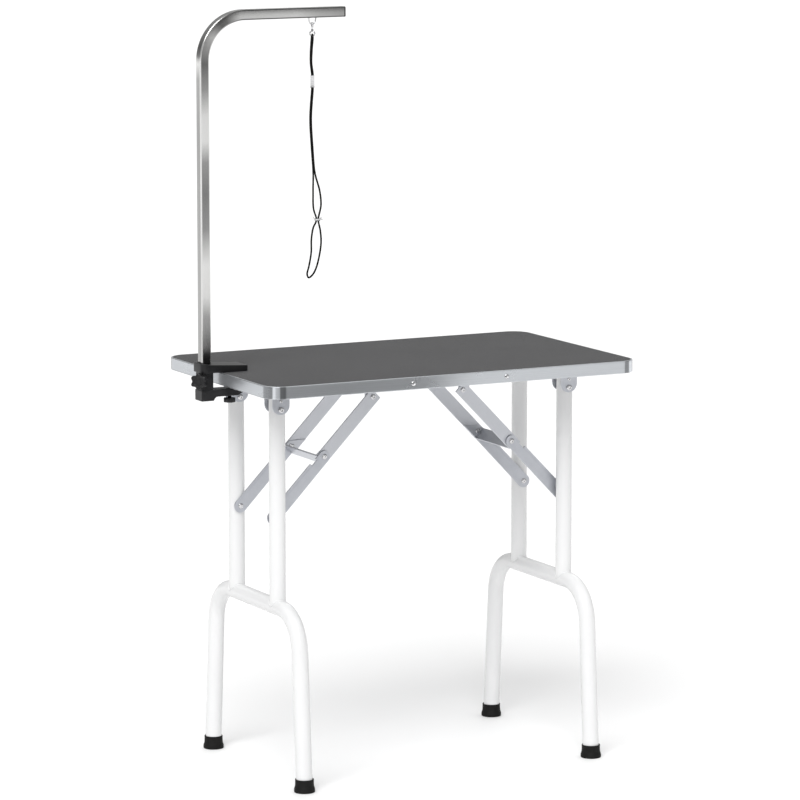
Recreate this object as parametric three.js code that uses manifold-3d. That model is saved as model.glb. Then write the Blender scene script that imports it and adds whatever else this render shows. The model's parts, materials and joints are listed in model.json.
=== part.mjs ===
// Folding pet grooming table with a clamped overhead arm and a hanging noose.
// Units are millimetres, +Z is up, +X runs along the table away from the arm.
import * as THREE from 'three';
import { mergeVertices } from 'three/addons/utils/BufferGeometryUtils.js';
import Module from 'manifold-3d';

const wasm = await Module();
wasm.setup();

// ---------------------------------------------------------------- dimensions
const GAP = 0.3;

const TOP = { length: 810, width: 487, height: 803, corner: 38 };
const TRIM = { height: 24.6, wall: 1.6, lip: 3.6, underLip: 10 };
const MAT = { proud: 0.4 };
const BOARD = { thickness: 18 };
const EDGE_SCREW = { spacing: 205, offset: 3.4, below: 13, headRadius: 5, shankRadius: 2, length: 22 };

const TUBE = { radius: 16.1, wall: 1.5, sides: 20 };
const LEG = { x: 319.4, tubeY: 93.2, pivotDrop: 67, topEnd: 30, crossbarZ: 344, bendRadius: 78 };
const SPLAY = { footY: 210.5, slope: 0.0697 };
const FOOT = { height: 26, topRadius: 18.4, bottomRadius: 20.5, sole: 5 };
const CLEVIS = { width: 36.7, thickness: 2.5, drop: 77, baseX: 60, baseY: 56 };
const PIVOT_BOLT = { radius: 4, headRadius: 6.5, headHeight: 3.5 };

const BRACE = { x: 100, z: 741, legDrop: 218, midway: 0.495, half: 13.5, topEnd: 9.5, thickness: 3 };
const LAYER = { link: 73.6, arm: 70.1, tab: 66.6 };
const STRAP = { beyond: 7, thickness: 3 };
const LINK_NECK = { half: 12, notchFrom: 16, notchTo: 30, notchDepth: 5.5 };
const TAB = { toLeg: 16, toMiddle: 8, flange: 26 };
const RIVET = { radius: 3, headRadius: 5.5, headHeight: 2 };

const POST = { side: 20, wall: 1.5, corner: 2.5, out: 25, bottom: 752, reach: 303 };
const ARM = { topZ: 1503.5, bendRadius: 87, eyeX: 235 };
const JAW = { headX: 16, taperX: -10, tipX: 82, half: 25, head: 17.6, tip: 11.6, corner: 12 };
const COLUMN = { halfX: 13, halfY: 15, bottom: 747.5, corner: 4 };
const LOWER_JAW = { top: 769, bottom: 755, archX: 22, tipX: 75, half: 16 };
const THUMBSCREW = { x: 53, rod: 4, headRadius: 12, headHeight: 9.5, headTop: 749.5, lobes: 8 };
const PAD = { radius: 8, thickness: 4.6 };
const KNOB = { drop: 14, radius: 17, lobes: 6, back: 25.5, thickness: 12, stud: 4, boss: 8 };

const EYE = { wire: 1.3, half: 7, drop: 14.3 };
const HOOK = { wire: 1.3, upperRing: 3.8, lowerRing: 5, lowerZ: 1452, barrel: 2.4 };
const CORD = { radius: 1.8, sides: 8, spacing: 4 };
const CRIMP = { z: 1359, height: 24, clearance: 0.6, wall: 0.6, turn: THREE.MathUtils.degToRad(29.4) };
const SLIDER = { offset: 9.9, z: 1087.8, height: 5, clearance: 1, wall: 1, wing: 6 };
const HOOK_TURN = THREE.MathUtils.degToRad(-37.3);

const TRIM_TOP = TOP.height - MAT.proud;
const TRIM_BOTTOM = TRIM_TOP - TRIM.height;
const BOARD_BOTTOM = TRIM_BOTTOM + TRIM.wall + GAP;
const PIVOT_Z = TOP.height - LEG.pivotDrop;
const UNDER_BOARD = BOARD_BOTTOM - GAP;
const POST_X = -TOP.length / 2 - POST.out;
const ARM_Z = ARM.topZ - POST.side / 2;
const EYE_X = POST_X + ARM.eyeX;
const ARM_END_X = POST_X + POST.reach - 3;

// Brace pivots on the left side, in the XZ plane; the right side mirrors them.
const UPPER_PIVOT = new THREE.Vector2(-BRACE.x, BRACE.z);
const LOWER_PIVOT = new THREE.Vector2(-LEG.x, PIVOT_Z - BRACE.legDrop);
const MID_PIVOT = UPPER_PIVOT.clone().lerp(LOWER_PIVOT, BRACE.midway);
const BRACE_ANGLE = LOWER_PIVOT.clone().sub(UPPER_PIVOT).angle();
const ARM_LENGTH = MID_PIVOT.distanceTo(UPPER_PIVOT);
const LINK_LENGTH = MID_PIVOT.distanceTo(LOWER_PIVOT);

// ----------------------------------------------------------------- materials
function material(color, roughness, metalness) {
  return new THREE.MeshStandardMaterial({ color, roughness, metalness });
}

const LOOK = {
  mat: () => material(0x646464, 0.95, 0),
  board: () => material(0x9a9b9d, 0.7, 0),
  aluminium: () => material(0xb9bdc4, 0.3, 1),
  whitePaint: () => material(0xf2f3f4, 0.3, 0),
  plated: () => material(0xb2b5bb, 0.35, 1),
  stainless: () => material(0xc2c0bd, 0.28, 1),
  blackPlastic: () => material(0x232325, 0.5, 0),
  rubber: () => material(0x141414, 0.85, 0),
  cord: () => material(0x0c0c0c, 0.75, 0),
};

// ------------------------------------------------------------ solid modelling
function toManifold(geometry) {
  const bare = geometry.clone();
  bare.deleteAttribute('normal');
  bare.deleteAttribute('uv');
  const merged = mergeVertices(bare, 1e-4);
  return new wasm.Manifold(new wasm.Mesh({
    numProp: 3,
    vertProperties: new Float32Array(merged.attributes.position.array),
    triVerts: new Uint32Array(merged.index.array),
  }));
}

function toGeometry(solid) {
  const mesh = solid.getMesh();
  const geometry = new THREE.BufferGeometry();
  geometry.setAttribute('position', new THREE.BufferAttribute(mesh.vertProperties, 3));
  geometry.setIndex(new THREE.BufferAttribute(mesh.triVerts, 1));
  return geometry;
}

function combine(operation, first, others) {
  let solid = toManifold(first);
  for (const other of others) solid = solid[operation](toManifold(other));
  return toGeometry(solid);
}

const join = (first, ...others) => combine('add', first, others);
const cut = (first, ...others) => combine('subtract', first, others);
const common = (first, ...others) => combine('intersect', first, others);

function roundedRectangle(width, depth, radius, segments = 5) {
  const shape = new THREE.Shape();
  const x = width / 2 - radius;
  const y = depth / 2 - radius;
  const corners = [[x, y, 0], [-x, y, 1], [-x, -y, 2], [x, -y, 3]];
  const points = [];
  for (const [cx, cy, quarter] of corners) {
    for (let i = 0; i <= segments; i += 1) {
      const angle = (quarter + i / segments) * Math.PI / 2;
      points.push(new THREE.Vector2(cx + radius * Math.cos(angle), cy + radius * Math.sin(angle)));
    }
  }
  return shape.setFromPoints(points);
}

function circlePoints(radius, sides) {
  const points = [];
  for (let i = 0; i < sides; i += 1) {
    const angle = i / sides * 2 * Math.PI;
    points.push(new THREE.Vector2(radius * Math.cos(angle), radius * Math.sin(angle)));
  }
  return points;
}

function prism(shape, bottom, top, bevel = 0) {
  const geometry = new THREE.ExtrudeGeometry(shape, {
    depth: top - bottom - 2 * bevel,
    curveSegments: 8,
    bevelEnabled: bevel > 0,
    bevelThickness: bevel,
    bevelSize: bevel,
    bevelOffset: -bevel,
    bevelSegments: 1,
  });
  return geometry.translate(0, 0, bottom + bevel);
}

// A plate whose outline lies in the XZ plane and whose thickness runs along Y.
function uprightPlate(shape, lowY, highY) {
  const geometry = prism(shape, 0, highY - lowY);
  return geometry.rotateX(Math.PI / 2).translate(0, highY, 0);
}

// A solid of revolution about +Z from [radius, z] pairs that start and end on the axis.
function turned(profile, sides = 16) {
  const points = profile.map(([radius, z]) => new THREE.Vector2(radius, z));
  return new THREE.LatheGeometry(points, sides).rotateX(Math.PI / 2);
}

function rod(radius, length, sides = 16) {
  return turned([[0, 0], [radius, 0], [radius, length], [0, length]], sides);
}

// Turns a solid made along +Z to point along a direction, then moves its origin.
function aim(geometry, direction, origin) {
  const turn = new THREE.Quaternion().setFromUnitVectors(
    new THREE.Vector3(0, 0, 1), direction.clone().normalize());
  return geometry.applyQuaternion(turn).translate(origin.x, origin.y, origin.z);
}

// A path that passes through chosen stations, one extrusion step per station.
class StationPath extends THREE.Curve {
  constructor(stations) {
    super();
    this.stations = stations;
  }

  getPointAt(u, target = new THREE.Vector3()) {
    const last = this.stations.length - 1;
    const place = Math.min(u * last, last);
    const index = Math.min(Math.floor(place), last - 1);
    return target.lerpVectors(this.stations[index], this.stations[index + 1], place - index);
  }

  getPoint(u, target) {
    return this.getPointAt(u, target);
  }

  getTangentAt(u, target = new THREE.Vector3()) {
    const last = this.stations.length - 1;
    const index = Math.round(u * last);
    const before = this.stations[Math.max(index - 1, 0)];
    const after = this.stations[Math.min(index + 1, last)];
    return target.subVectors(after, before).normalize();
  }
}

function sweep(outer, inner, stations) {
  const shape = new THREE.Shape(outer);
  if (inner) shape.holes.push(new THREE.Path(inner));
  return new THREE.ExtrudeGeometry(shape, {
    extrudePath: new StationPath(stations),
    steps: stations.length - 1,
    bevelEnabled: false,
  });
}

function arcStations(centre, radius, from, to, count, toPoint) {
  const stations = [];
  for (let i = 0; i <= count; i += 1) {
    const angle = from + (to - from) * i / count;
    stations.push(toPoint(
      centre.x + radius * Math.cos(angle), centre.y + radius * Math.sin(angle)));
  }
  return stations;
}

// ----------------------------------------------------------------- tabletop
function edgeTrim() {
  const { length, width, corner } = TOP;
  const band = (inset, low, high) => prism(
    roundedRectangle(length - 2 * inset, width - 2 * inset, corner - inset), low, high);
  const body = prism(roundedRectangle(length, width, corner), TRIM_BOTTOM, TRIM_TOP, 1.2);
  return cut(
    body,
    band(TRIM.wall, TRIM_BOTTOM + TRIM.wall, TRIM_TOP - TRIM.wall),
    band(TRIM.lip, TRIM_BOTTOM + TRIM.wall, TRIM_TOP + 1),
    band(TRIM.underLip, TRIM_BOTTOM - 1, TRIM_TOP),
    ...edgeScrewPlaces().map((place) => screwHole(place)));
}

function topBoard() {
  const inset = TRIM.wall + GAP;
  const outline = roundedRectangle(
    TOP.length - 2 * inset, TOP.width - 2 * inset, TOP.corner - inset);
  const board = prism(outline, BOARD_BOTTOM, BOARD_BOTTOM + BOARD.thickness);
  return cut(board, ...edgeScrewPlaces().map((place) => screwHole(place)));
}

function topMat() {
  const inset = TRIM.lip + GAP;
  const outline = roundedRectangle(
    TOP.length - 2 * inset, TOP.width - 2 * inset, TOP.corner - inset);
  return prism(outline, BOARD_BOTTOM + BOARD.thickness + GAP, TOP.height);
}

function edgeScrewPlaces() {
  const places = [];
  for (const side of [-1, 1]) {
    for (const along of [-0.5, 0.5]) {
      const x = EDGE_SCREW.offset + along * EDGE_SCREW.spacing;
      places.push({ side, x, z: TOP.height - EDGE_SCREW.below });
    }
  }
  return places;
}

function screwHole({ side, x, z }) {
  const hole = rod(EDGE_SCREW.shankRadius + GAP, EDGE_SCREW.length + 6, 12);
  return aim(hole, new THREE.Vector3(0, -side, 0), new THREE.Vector3(x, side * (TOP.width / 2 + 3), z));
}

function edgeScrew({ side, x, z }) {
  const head = EDGE_SCREW.headRadius;
  const shank = EDGE_SCREW.shankRadius;
  const screw = turned([
    [0, -2.2], [head * 0.6, -1.8], [head, -0.4],
    [head, 0], [shank, 0], [shank, EDGE_SCREW.length - 3], [0, EDGE_SCREW.length],
  ], 10);
  const face = side * (TOP.width / 2 + GAP);
  return aim(screw, new THREE.Vector3(0, -side, 0), new THREE.Vector3(x, face, z));
}

// ------------------------------------------------------------- leg brackets
// end is -1 at the arm's end of the table and +1 at the other; side is -1 at the front.
function legBracket(end, side) {
  const centreY = side * LEG.tubeY;
  const bottom = TOP.height - CLEVIS.drop;
  const half = CLEVIS.width / 2;
  const cheek = new THREE.Shape();
  cheek.moveTo(half, UNDER_BOARD);
  cheek.lineTo(-half, UNDER_BOARD);
  cheek.lineTo(-half, bottom + half);
  cheek.absarc(0, bottom + half, half, Math.PI, 2 * Math.PI, false);
  const inner = TUBE.radius + 0.5;
  const plates = [-1, 1].map((face) => {
    const lowY = face < 0 ? -inner - CLEVIS.thickness : inner;
    return uprightPlate(cheek, lowY, lowY + CLEVIS.thickness);
  });
  const base = prism(
    roundedRectangle(CLEVIS.baseX, CLEVIS.baseY, 5, 3), UNDER_BOARD - CLEVIS.thickness, UNDER_BOARD);
  const hole = aim(
    rod(PIVOT_BOLT.radius + GAP, 60, 10), new THREE.Vector3(0, 1, 0), new THREE.Vector3(0, -30, PIVOT_Z));
  return cut(join(base, ...plates), hole).translate(end * LEG.x, centreY, 0);
}

function legPivotBolt(end, side) {
  const half = TUBE.radius + 0.5 + CLEVIS.thickness + GAP;
  const { radius, headRadius, headHeight } = PIVOT_BOLT;
  const bolt = turned([
    [0, -half - headHeight], [headRadius * 0.8, -half - headHeight], [headRadius, -half - 1],
    [headRadius, -half], [radius, -half], [radius, half],
    [headRadius, half], [headRadius, half + 1], [headRadius * 0.8, half + headHeight],
    [0, half + headHeight],
  ], 10);
  return aim(bolt, new THREE.Vector3(0, 1, 0), new THREE.Vector3(end * LEG.x, side * LEG.tubeY, PIVOT_Z));
}

// ------------------------------------------------------------------ the legs
function crossHole(radius, z, fromY, toY) {
  return aim(rod(radius + GAP, toY - fromY, 10), new THREE.Vector3(0, 1, 0), new THREE.Vector3(0, fromY, z));
}

function upperTube(end, side) {
  const bottom = LEG.crossbarZ;
  const top = PIVOT_Z + LEG.topEnd;
  const shell = new THREE.Shape(circlePoints(TUBE.radius, TUBE.sides));
  shell.holes.push(new THREE.Path(circlePoints(TUBE.radius - TUBE.wall, TUBE.sides)));
  const saddle = aim(
    rod(TUBE.radius + GAP, 60, 20), new THREE.Vector3(0, 1, 0), new THREE.Vector3(0, -30, bottom));
  const rivetFrom = side < 0 ? 0 : -TUBE.radius - 2;
  const tube = cut(
    prism(shell, bottom, top),
    saddle,
    crossHole(PIVOT_BOLT.radius, PIVOT_Z, -30, 30),
    crossHole(RIVET.radius, LOWER_PIVOT.y, rivetFrom, rivetFrom + TUBE.radius + 2));
  return tube.translate(end * LEG.x, side * LEG.tubeY, 0);
}

// Crossbar and two splayed legs bent from one tube.
function uLeg(end) {
  const tilt = Math.atan(SPLAY.slope);
  const cornerY = SPLAY.footY - SPLAY.slope * LEG.crossbarZ;
  const turn = Math.PI / 2 - tilt;
  const tangent = LEG.bendRadius * Math.tan(turn / 2);
  const centre = new THREE.Vector2(cornerY - tangent, LEG.crossbarZ - LEG.bendRadius);
  const toPoint = (y, z) => new THREE.Vector3(end * LEG.x, y, z);
  const footEnd = toPoint(SPLAY.footY - SPLAY.slope * FOOT.sole, FOOT.sole);
  const bend = arcStations(centre, LEG.bendRadius, tilt, Math.PI / 2, 6, toPoint);
  const right = [footEnd, ...bend];
  const left = right.map((p) => new THREE.Vector3(p.x, -p.y, p.z)).reverse();
  const outer = circlePoints(TUBE.radius, TUBE.sides);
  const inner = circlePoints(TUBE.radius - TUBE.wall, TUBE.sides);
  return sweep(outer, inner, [...right, ...left]);
}

function foot(end, side) {
  const cup = turned([
    [0, 0], [FOOT.bottomRadius - 1, 0], [FOOT.bottomRadius, 1.5], [FOOT.bottomRadius, 7],
    [FOOT.topRadius, 12], [FOOT.topRadius, FOOT.height - 1], [FOOT.topRadius - 0.8, FOOT.height],
    [0, FOOT.height],
  ], 18);
  const middleY = side * (SPLAY.footY - SPLAY.slope * FOOT.height / 2);
  cup.translate(end * LEG.x, middleY, 0);
  const direction = new THREE.Vector3(0, -side * SPLAY.slope, 1);
  const seatZ = FOOT.sole - 1;
  const seat = new THREE.Vector3(end * LEG.x, side * (SPLAY.footY - SPLAY.slope * seatZ), seatZ);
  return cut(cup, aim(rod(TUBE.radius + GAP, 40, 18), direction, seat));
}

// ---------------------------------------------------------------- the braces
// Turns an outline drawn along +X from the origin to run between two pivots.
function alongLink(outline, origin, angle, end) {
  const cos = Math.cos(angle);
  const sin = Math.sin(angle);
  return new THREE.Shape(outline.getPoints(8).map(({ x, y }) => new THREE.Vector2(
    -end * (origin.x + x * cos - y * sin), origin.y + x * sin + y * cos)));
}

function roundPlateHole(pivot, end, radius) {
  const place = new THREE.Vector3(-end * pivot.x, -90, pivot.y);
  return aim(rod(radius + GAP, 180, 8), new THREE.Vector3(0, 1, 0), place);
}

// U-shaped strip: two arms from the tabletop pivots and the strap that joins them.
function upperBrace(end) {
  const tip = ARM_LENGTH + STRAP.beyond + STRAP.thickness;
  const arm = new THREE.Shape();
  arm.moveTo(tip, -BRACE.half);
  arm.lineTo(tip, BRACE.half);
  arm.lineTo(-BRACE.topEnd, BRACE.half);
  arm.lineTo(-BRACE.topEnd, -BRACE.half);
  const strap = new THREE.Shape();
  strap.moveTo(tip, -BRACE.half);
  strap.lineTo(tip, BRACE.half);
  strap.lineTo(tip - STRAP.thickness, BRACE.half);
  strap.lineTo(tip - STRAP.thickness, -BRACE.half);
  const outline = alongLink(arm, UPPER_PIVOT, BRACE_ANGLE, end);
  const outside = LAYER.arm + BRACE.thickness;
  const solid = join(
    uprightPlate(alongLink(strap, UPPER_PIVOT, BRACE_ANGLE, end), -outside, outside),
    uprightPlate(outline, LAYER.arm, outside),
    uprightPlate(outline, -outside, -LAYER.arm));
  return cut(solid, roundPlateHole(UPPER_PIVOT, end, RIVET.radius));
}

// Lower link: a round end at the leg, tapering to a latch notch and a round end at the mid pivot.
function lowerLink(end, side) {
  const { half, notchFrom, notchTo, notchDepth } = LINK_NECK;
  const body = BRACE.half;
  const link = new THREE.Shape();
  link.moveTo(0, -body);
  link.lineTo(LINK_LENGTH, -half);
  link.absarc(LINK_LENGTH, 0, half, -Math.PI / 2, Math.PI / 2, false);
  link.lineTo(LINK_LENGTH - notchFrom, half);
  link.lineTo(LINK_LENGTH - notchFrom, body - notchDepth);
  link.lineTo(LINK_LENGTH - notchTo, body - notchDepth);
  link.lineTo(LINK_LENGTH - notchTo, body);
  link.lineTo(0, body);
  link.absarc(0, 0, body, Math.PI / 2, 1.5 * Math.PI, false);
  const outline = alongLink(link, LOWER_PIVOT, BRACE_ANGLE - Math.PI, end);
  const lowY = side < 0 ? -LAYER.link - BRACE.thickness : LAYER.link;
  return cut(
    uprightPlate(outline, lowY, lowY + BRACE.thickness),
    roundPlateHole(LOWER_PIVOT, end, RIVET.radius),
    roundPlateHole(MID_PIVOT, end, RIVET.radius));
}

// Angle bracket under the board that carries one arm of the upper brace.
function braceBracket(end, side) {
  const tab = new THREE.Shape();
  const legward = -TAB.toLeg;
  tab.moveTo(TAB.toMiddle, UNDER_BOARD);
  tab.lineTo(legward, UNDER_BOARD);
  tab.lineTo(legward, BRACE.z);
  tab.lineTo(-TAB.toMiddle, BRACE.z - 10);
  tab.lineTo(TAB.toMiddle, BRACE.z - 10);
  const placed = new THREE.Shape(tab.getPoints().map(
    ({ x, y }) => new THREE.Vector2(-end * (UPPER_PIVOT.x + x), y)));
  const width = TAB.toLeg + TAB.toMiddle;
  const centreX = -end * (UPPER_PIVOT.x + (TAB.toMiddle - TAB.toLeg) / 2);
  const flange = new THREE.BoxGeometry(width, TAB.flange, BRACE.thickness);
  flange.translate(
    centreX, side * (LAYER.tab + BRACE.thickness - TAB.flange / 2), UNDER_BOARD - BRACE.thickness / 2);
  const lowY = side < 0 ? -LAYER.tab - BRACE.thickness : LAYER.tab;
  return cut(
    join(flange, uprightPlate(placed, lowY, lowY + BRACE.thickness)),
    roundPlateHole(UPPER_PIVOT, end, RIVET.radius));
}

// A rivet along Y between two planes; a head is added wherever its height isn't zero.
function rivet(pivot, end, side, innerY, outerY, innerHead, outerHead) {
  const profile = [[0, innerY - innerHead]];
  if (innerHead) {
    profile.push([RIVET.headRadius * 0.8, innerY - innerHead], [RIVET.headRadius, innerY - innerHead / 2]);
    profile.push([RIVET.headRadius, innerY]);
  }
  profile.push([RIVET.radius, innerY], [RIVET.radius, outerY]);
  if (outerHead) {
    profile.push([RIVET.headRadius, outerY], [RIVET.headRadius, outerY + outerHead / 2]);
    profile.push([RIVET.headRadius * 0.8, outerY + outerHead]);
  }
  profile.push([0, outerY + outerHead]);
  return aim(
    turned(profile, 8), new THREE.Vector3(0, side, 0), new THREE.Vector3(-end * pivot.x, 0, pivot.y));
}

function upperRivet(end, side) {
  const inner = LAYER.tab - GAP;
  const outer = LAYER.arm + BRACE.thickness + GAP;
  return rivet(UPPER_PIVOT, end, side, inner, outer, RIVET.headHeight, RIVET.headHeight);
}

function midRivet(end, side) {
  const outer = LAYER.link + BRACE.thickness + GAP;
  return rivet(MID_PIVOT, end, side, LAYER.link - 0.1, outer, 0, RIVET.headHeight);
}

function lowerRivet(end, side) {
  const wall = LEG.tubeY - TUBE.radius + TUBE.wall;
  return rivet(LOWER_PIVOT, end, side, LAYER.link - GAP, wall + 2, RIVET.headHeight, 0);
}

// ------------------------------------------------------- clamp, post and arm
function clampBody() {
  const plan = new THREE.Shape();
  const left = POST_X - JAW.headX;
  const right = POST_X + JAW.tipX;
  const turn = JAW.corner;
  plan.moveTo(right, -JAW.half + 3);
  plan.lineTo(right, JAW.half - 3);
  plan.lineTo(right - 3, JAW.half);
  plan.lineTo(left + turn, JAW.half);
  plan.absarc(left + turn, JAW.half - turn, turn, Math.PI / 2, Math.PI, false);
  plan.absarc(left + turn, -JAW.half + turn, turn, Math.PI, 1.5 * Math.PI, false);
  plan.lineTo(right - 3, -JAW.half);
  const seat = TOP.height + GAP;
  const profile = new THREE.Shape();
  profile.moveTo(left, seat);
  profile.lineTo(right, seat);
  profile.lineTo(right, seat + JAW.tip);
  profile.lineTo(POST_X + JAW.taperX, seat + JAW.head);
  profile.lineTo(left, seat + JAW.head);
  const upperJaw = common(
    prism(plan, seat, seat + JAW.head), uprightPlate(profile, -JAW.half, JAW.half));

  const columnPlan = roundedRectangle(2 * COLUMN.halfX, 2 * COLUMN.halfY, COLUMN.corner, 3);
  const column = prism(columnPlan, COLUMN.bottom, seat + 4).translate(POST_X, 0, 0);

  const lower = new THREE.Shape();
  lower.moveTo(POST_X, LOWER_JAW.top);
  lower.lineTo(POST_X, COLUMN.bottom);
  lower.lineTo(POST_X + COLUMN.halfX, COLUMN.bottom);
  lower.quadraticCurveTo(
    POST_X + COLUMN.halfX + 2, LOWER_JAW.bottom, POST_X + LOWER_JAW.archX, LOWER_JAW.bottom);
  lower.lineTo(POST_X + LOWER_JAW.tipX - 12, LOWER_JAW.bottom);
  lower.lineTo(POST_X + LOWER_JAW.tipX, LOWER_JAW.bottom + 4);
  lower.lineTo(POST_X + LOWER_JAW.tipX, LOWER_JAW.top);
  const lowerJaw = uprightPlate(lower, -LOWER_JAW.half, LOWER_JAW.half);

  const diagonal = new THREE.Vector3(-1, -1, 0);
  const knobZ = TOP.height - KNOB.drop;
  const start = new THREE.Vector3(POST_X, 0, knobZ);
  const boss = aim(rod(KNOB.boss, KNOB.back - 1, 14), diagonal, start);
  const postHole = prism(
    roundedRectangle(POST.side + 2 * GAP, POST.side + 2 * GAP, POST.corner, 3), COLUMN.bottom - 1,
    seat + JAW.head + 1).translate(POST_X, 0, 0);
  const studHole = aim(rod(KNOB.stud + GAP, KNOB.back + 5, 14), diagonal, start);
  const screwHoleTool = rod(THUMBSCREW.rod + GAP, 40, 14).translate(
    POST_X + THUMBSCREW.x, 0, LOWER_JAW.bottom - 10);
  return cut(join(upperJaw, column, lowerJaw, boss), postHole, studHole, screwHoleTool);
}

function lobedOutline(radius, depth, lobes) {
  const points = [];
  const count = lobes * 4;
  for (let i = 0; i < count; i += 1) {
    const angle = i / count * 2 * Math.PI;
    const reach = radius - depth / 2 + depth / 2 * Math.cos(lobes * angle);
    points.push(new THREE.Vector2(reach * Math.cos(angle), reach * Math.sin(angle)));
  }
  return new THREE.Shape(points);
}

function postKnob() {
  const grip = prism(lobedOutline(KNOB.radius, 3, KNOB.lobes), KNOB.back, KNOB.back + KNOB.thickness, 2)
    .rotateZ(Math.PI / 4);
  const clearOfPost = POST.side / 2 * Math.SQRT2 - (Math.SQRT2 - 1) * POST.corner + 0.4;
  const stud = rod(KNOB.stud, KNOB.back + 2 - clearOfPost, 14).translate(0, 0, clearOfPost);
  return aim(
    join(grip, stud), new THREE.Vector3(-1, -1, 0), new THREE.Vector3(POST_X, 0, TOP.height - KNOB.drop));
}

function clampScrew() {
  const { headTop, headHeight, headRadius, rod: rodRadius, lobes } = THUMBSCREW;
  const head = prism(lobedOutline(headRadius, 1.5, lobes), headTop - headHeight, headTop, 1.5);
  const top = UNDER_BOARD - PAD.thickness - GAP;
  const thread = rod(rodRadius, top - headTop + 3, 14).translate(0, 0, headTop - 3);
  return join(head, thread).translate(POST_X + THUMBSCREW.x, 0, 0);
}

function clampPad() {
  const bottom = UNDER_BOARD - PAD.thickness;
  const pad = turned([
    [0, 0], [PAD.radius - 1.5, 0], [PAD.radius, 1.5], [PAD.radius, PAD.thickness], [0, PAD.thickness],
  ], 18);
  return pad.translate(POST_X + THUMBSCREW.x, 0, bottom);
}

function squareLoop(side, corner) {
  return roundedRectangle(side, side, corner, 2).getPoints();
}

function armPath() {
  const toPoint = (x, z) => new THREE.Vector3(x, 0, z);
  const centre = new THREE.Vector2(POST_X + ARM.bendRadius, ARM_Z - ARM.bendRadius);
  const bend = arcStations(centre, ARM.bendRadius, Math.PI, Math.PI / 2, 10, toPoint);
  return [toPoint(POST_X, POST.bottom), ...bend, toPoint(ARM_END_X, ARM_Z)];
}

function armTube() {
  const inside = POST.side - 2 * POST.wall;
  const tube = sweep(
    squareLoop(POST.side, POST.corner), squareLoop(inside, POST.corner - 1), armPath());
  const holes = [-1, 1].map((hand) => rod(EYE.wire + GAP, POST.side, 10).translate(
    EYE_X + hand * EYE.half, 0, ARM_Z - POST.side));
  return cut(tube, ...holes);
}

function armEndCap() {
  const plug = prism(roundedRectangle(15.6, 15.6, 1.5, 2), -12, 1);
  const face = prism(roundedRectangle(POST.side, POST.side, POST.corner, 3), GAP, 3, 0.8);
  return aim(join(plug, face), new THREE.Vector3(1, 0, 0), new THREE.Vector3(ARM_END_X, 0, ARM_Z));
}

// U-shaped wire eye whose two ends stand inside the arm.
function armEye() {
  const roof = ARM_Z - POST.side / 2 + POST.wall + 1.5;
  const bottom = roof - POST.wall - EYE.drop;
  const toPoint = (x, z) => new THREE.Vector3(x, 0, z);
  const bend = arcStations(
    new THREE.Vector2(EYE_X, bottom + EYE.half), EYE.half, Math.PI, 2 * Math.PI, 8, toPoint);
  const stations = [toPoint(EYE_X - EYE.half, roof), ...bend, toPoint(EYE_X + EYE.half, roof)];
  return sweep(circlePoints(EYE.wire, 8), null, stations);
}

// The bottom of the eye's wire, where the snap hook hangs.
function hookPivotZ() {
  return ARM_Z - POST.side / 2 - EYE.drop + 1.5;
}

// Swivel snap hook: a ring round the eye, a barrel, and a ring turned to carry the cord.
function snapHook() {
  const { wire, upperRing, lowerRing, lowerZ, barrel } = HOOK;
  const upperZ = hookPivotZ() + EYE.wire + GAP + wire - upperRing;
  const upper = new THREE.TorusGeometry(upperRing, wire, 8, 14);
  upper.rotateX(Math.PI / 2).rotateZ(Math.PI / 2).rotateX(Math.PI / 2).translate(0, 0, upperZ);
  const lower = new THREE.TorusGeometry(lowerRing, wire, 8, 16);
  lower.rotateX(Math.PI / 2).rotateZ(HOOK_TURN).translate(0, 0, lowerZ);
  const from = lowerZ + lowerRing - 0.7;
  const body = rod(barrel, upperZ - upperRing + 0.7 - from, 10).translate(0, 0, from);
  return join(body, upper, lower).translate(EYE_X, 0, 0);
}

// ------------------------------------------------------------------ the noose
// Hand-chosen route: offsets from the eye along X and Y, and height above the floor.
// It starts inside the crimp, goes over the hook, down through the crimp and the slider,
// round the loop, and back up to the crimp.
const CORD_ROUTE = [
  [-1.7, -1, 1359.4], [-1.7, -1, 1373], [-5.2, -2.8, 1395], [-6.2, -4.8, 1413],
  [-5.8, -5.6, 1427.5], [-4.8, -5.8, 1440.5], [-3.4, -4.5, 1447.7], [0, 0, 1450.6],
  [3.4, 4.5, 1447.7], [4, 5.8, 1440.5], [2.6, 5.6, 1427.5], [1.1, 4.8, 1413],
  [-0.4, 2.8, 1395], [1.7, 1, 1373], [1.7, 1, 1346], [-2.4, 1, 1287.8],
  [0.8, 1, 1227.8], [5.4, 1, 1179.8], [15.4, 0.2, 1143.8], [17.8, 0, 1115.8],
  [11.9, 0, 1087.8], [15.5, -1, 1067.8], [16.2, -3.5, 1045.8], [11.6, -6.5, 1021.8],
  [2.6, -8.5, 993.8], [-4, -6, 980.8], [-9.2, 0.5, 974.8], [-9.6, 6.5, 980.8],
  [-4.4, 9.2, 995.8], [-0.6, 6.5, 1022.8], [-1.5, 3.5, 1049.8], [1, 0.8, 1071.8],
  [7.9, 0, 1087.8], [1.6, 0, 1109.8], [0.6, -0.2, 1143.8], [0.6, -1, 1181.8],
  [-2.6, -1, 1227.8], [-5.8, -1, 1287.8], [-1.7, -1, 1346], [-1.7, -1, 1358.6],
];

function nooseCord() {
  const points = CORD_ROUTE.map(([x, y, z]) => new THREE.Vector3(EYE_X + x, y, z));
  const route = new THREE.CatmullRomCurve3(points, false, 'centripetal');
  return sweep(circlePoints(CORD.radius, CORD.sides), null, route.getPoints(2 * points.length - 2));
}

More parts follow.
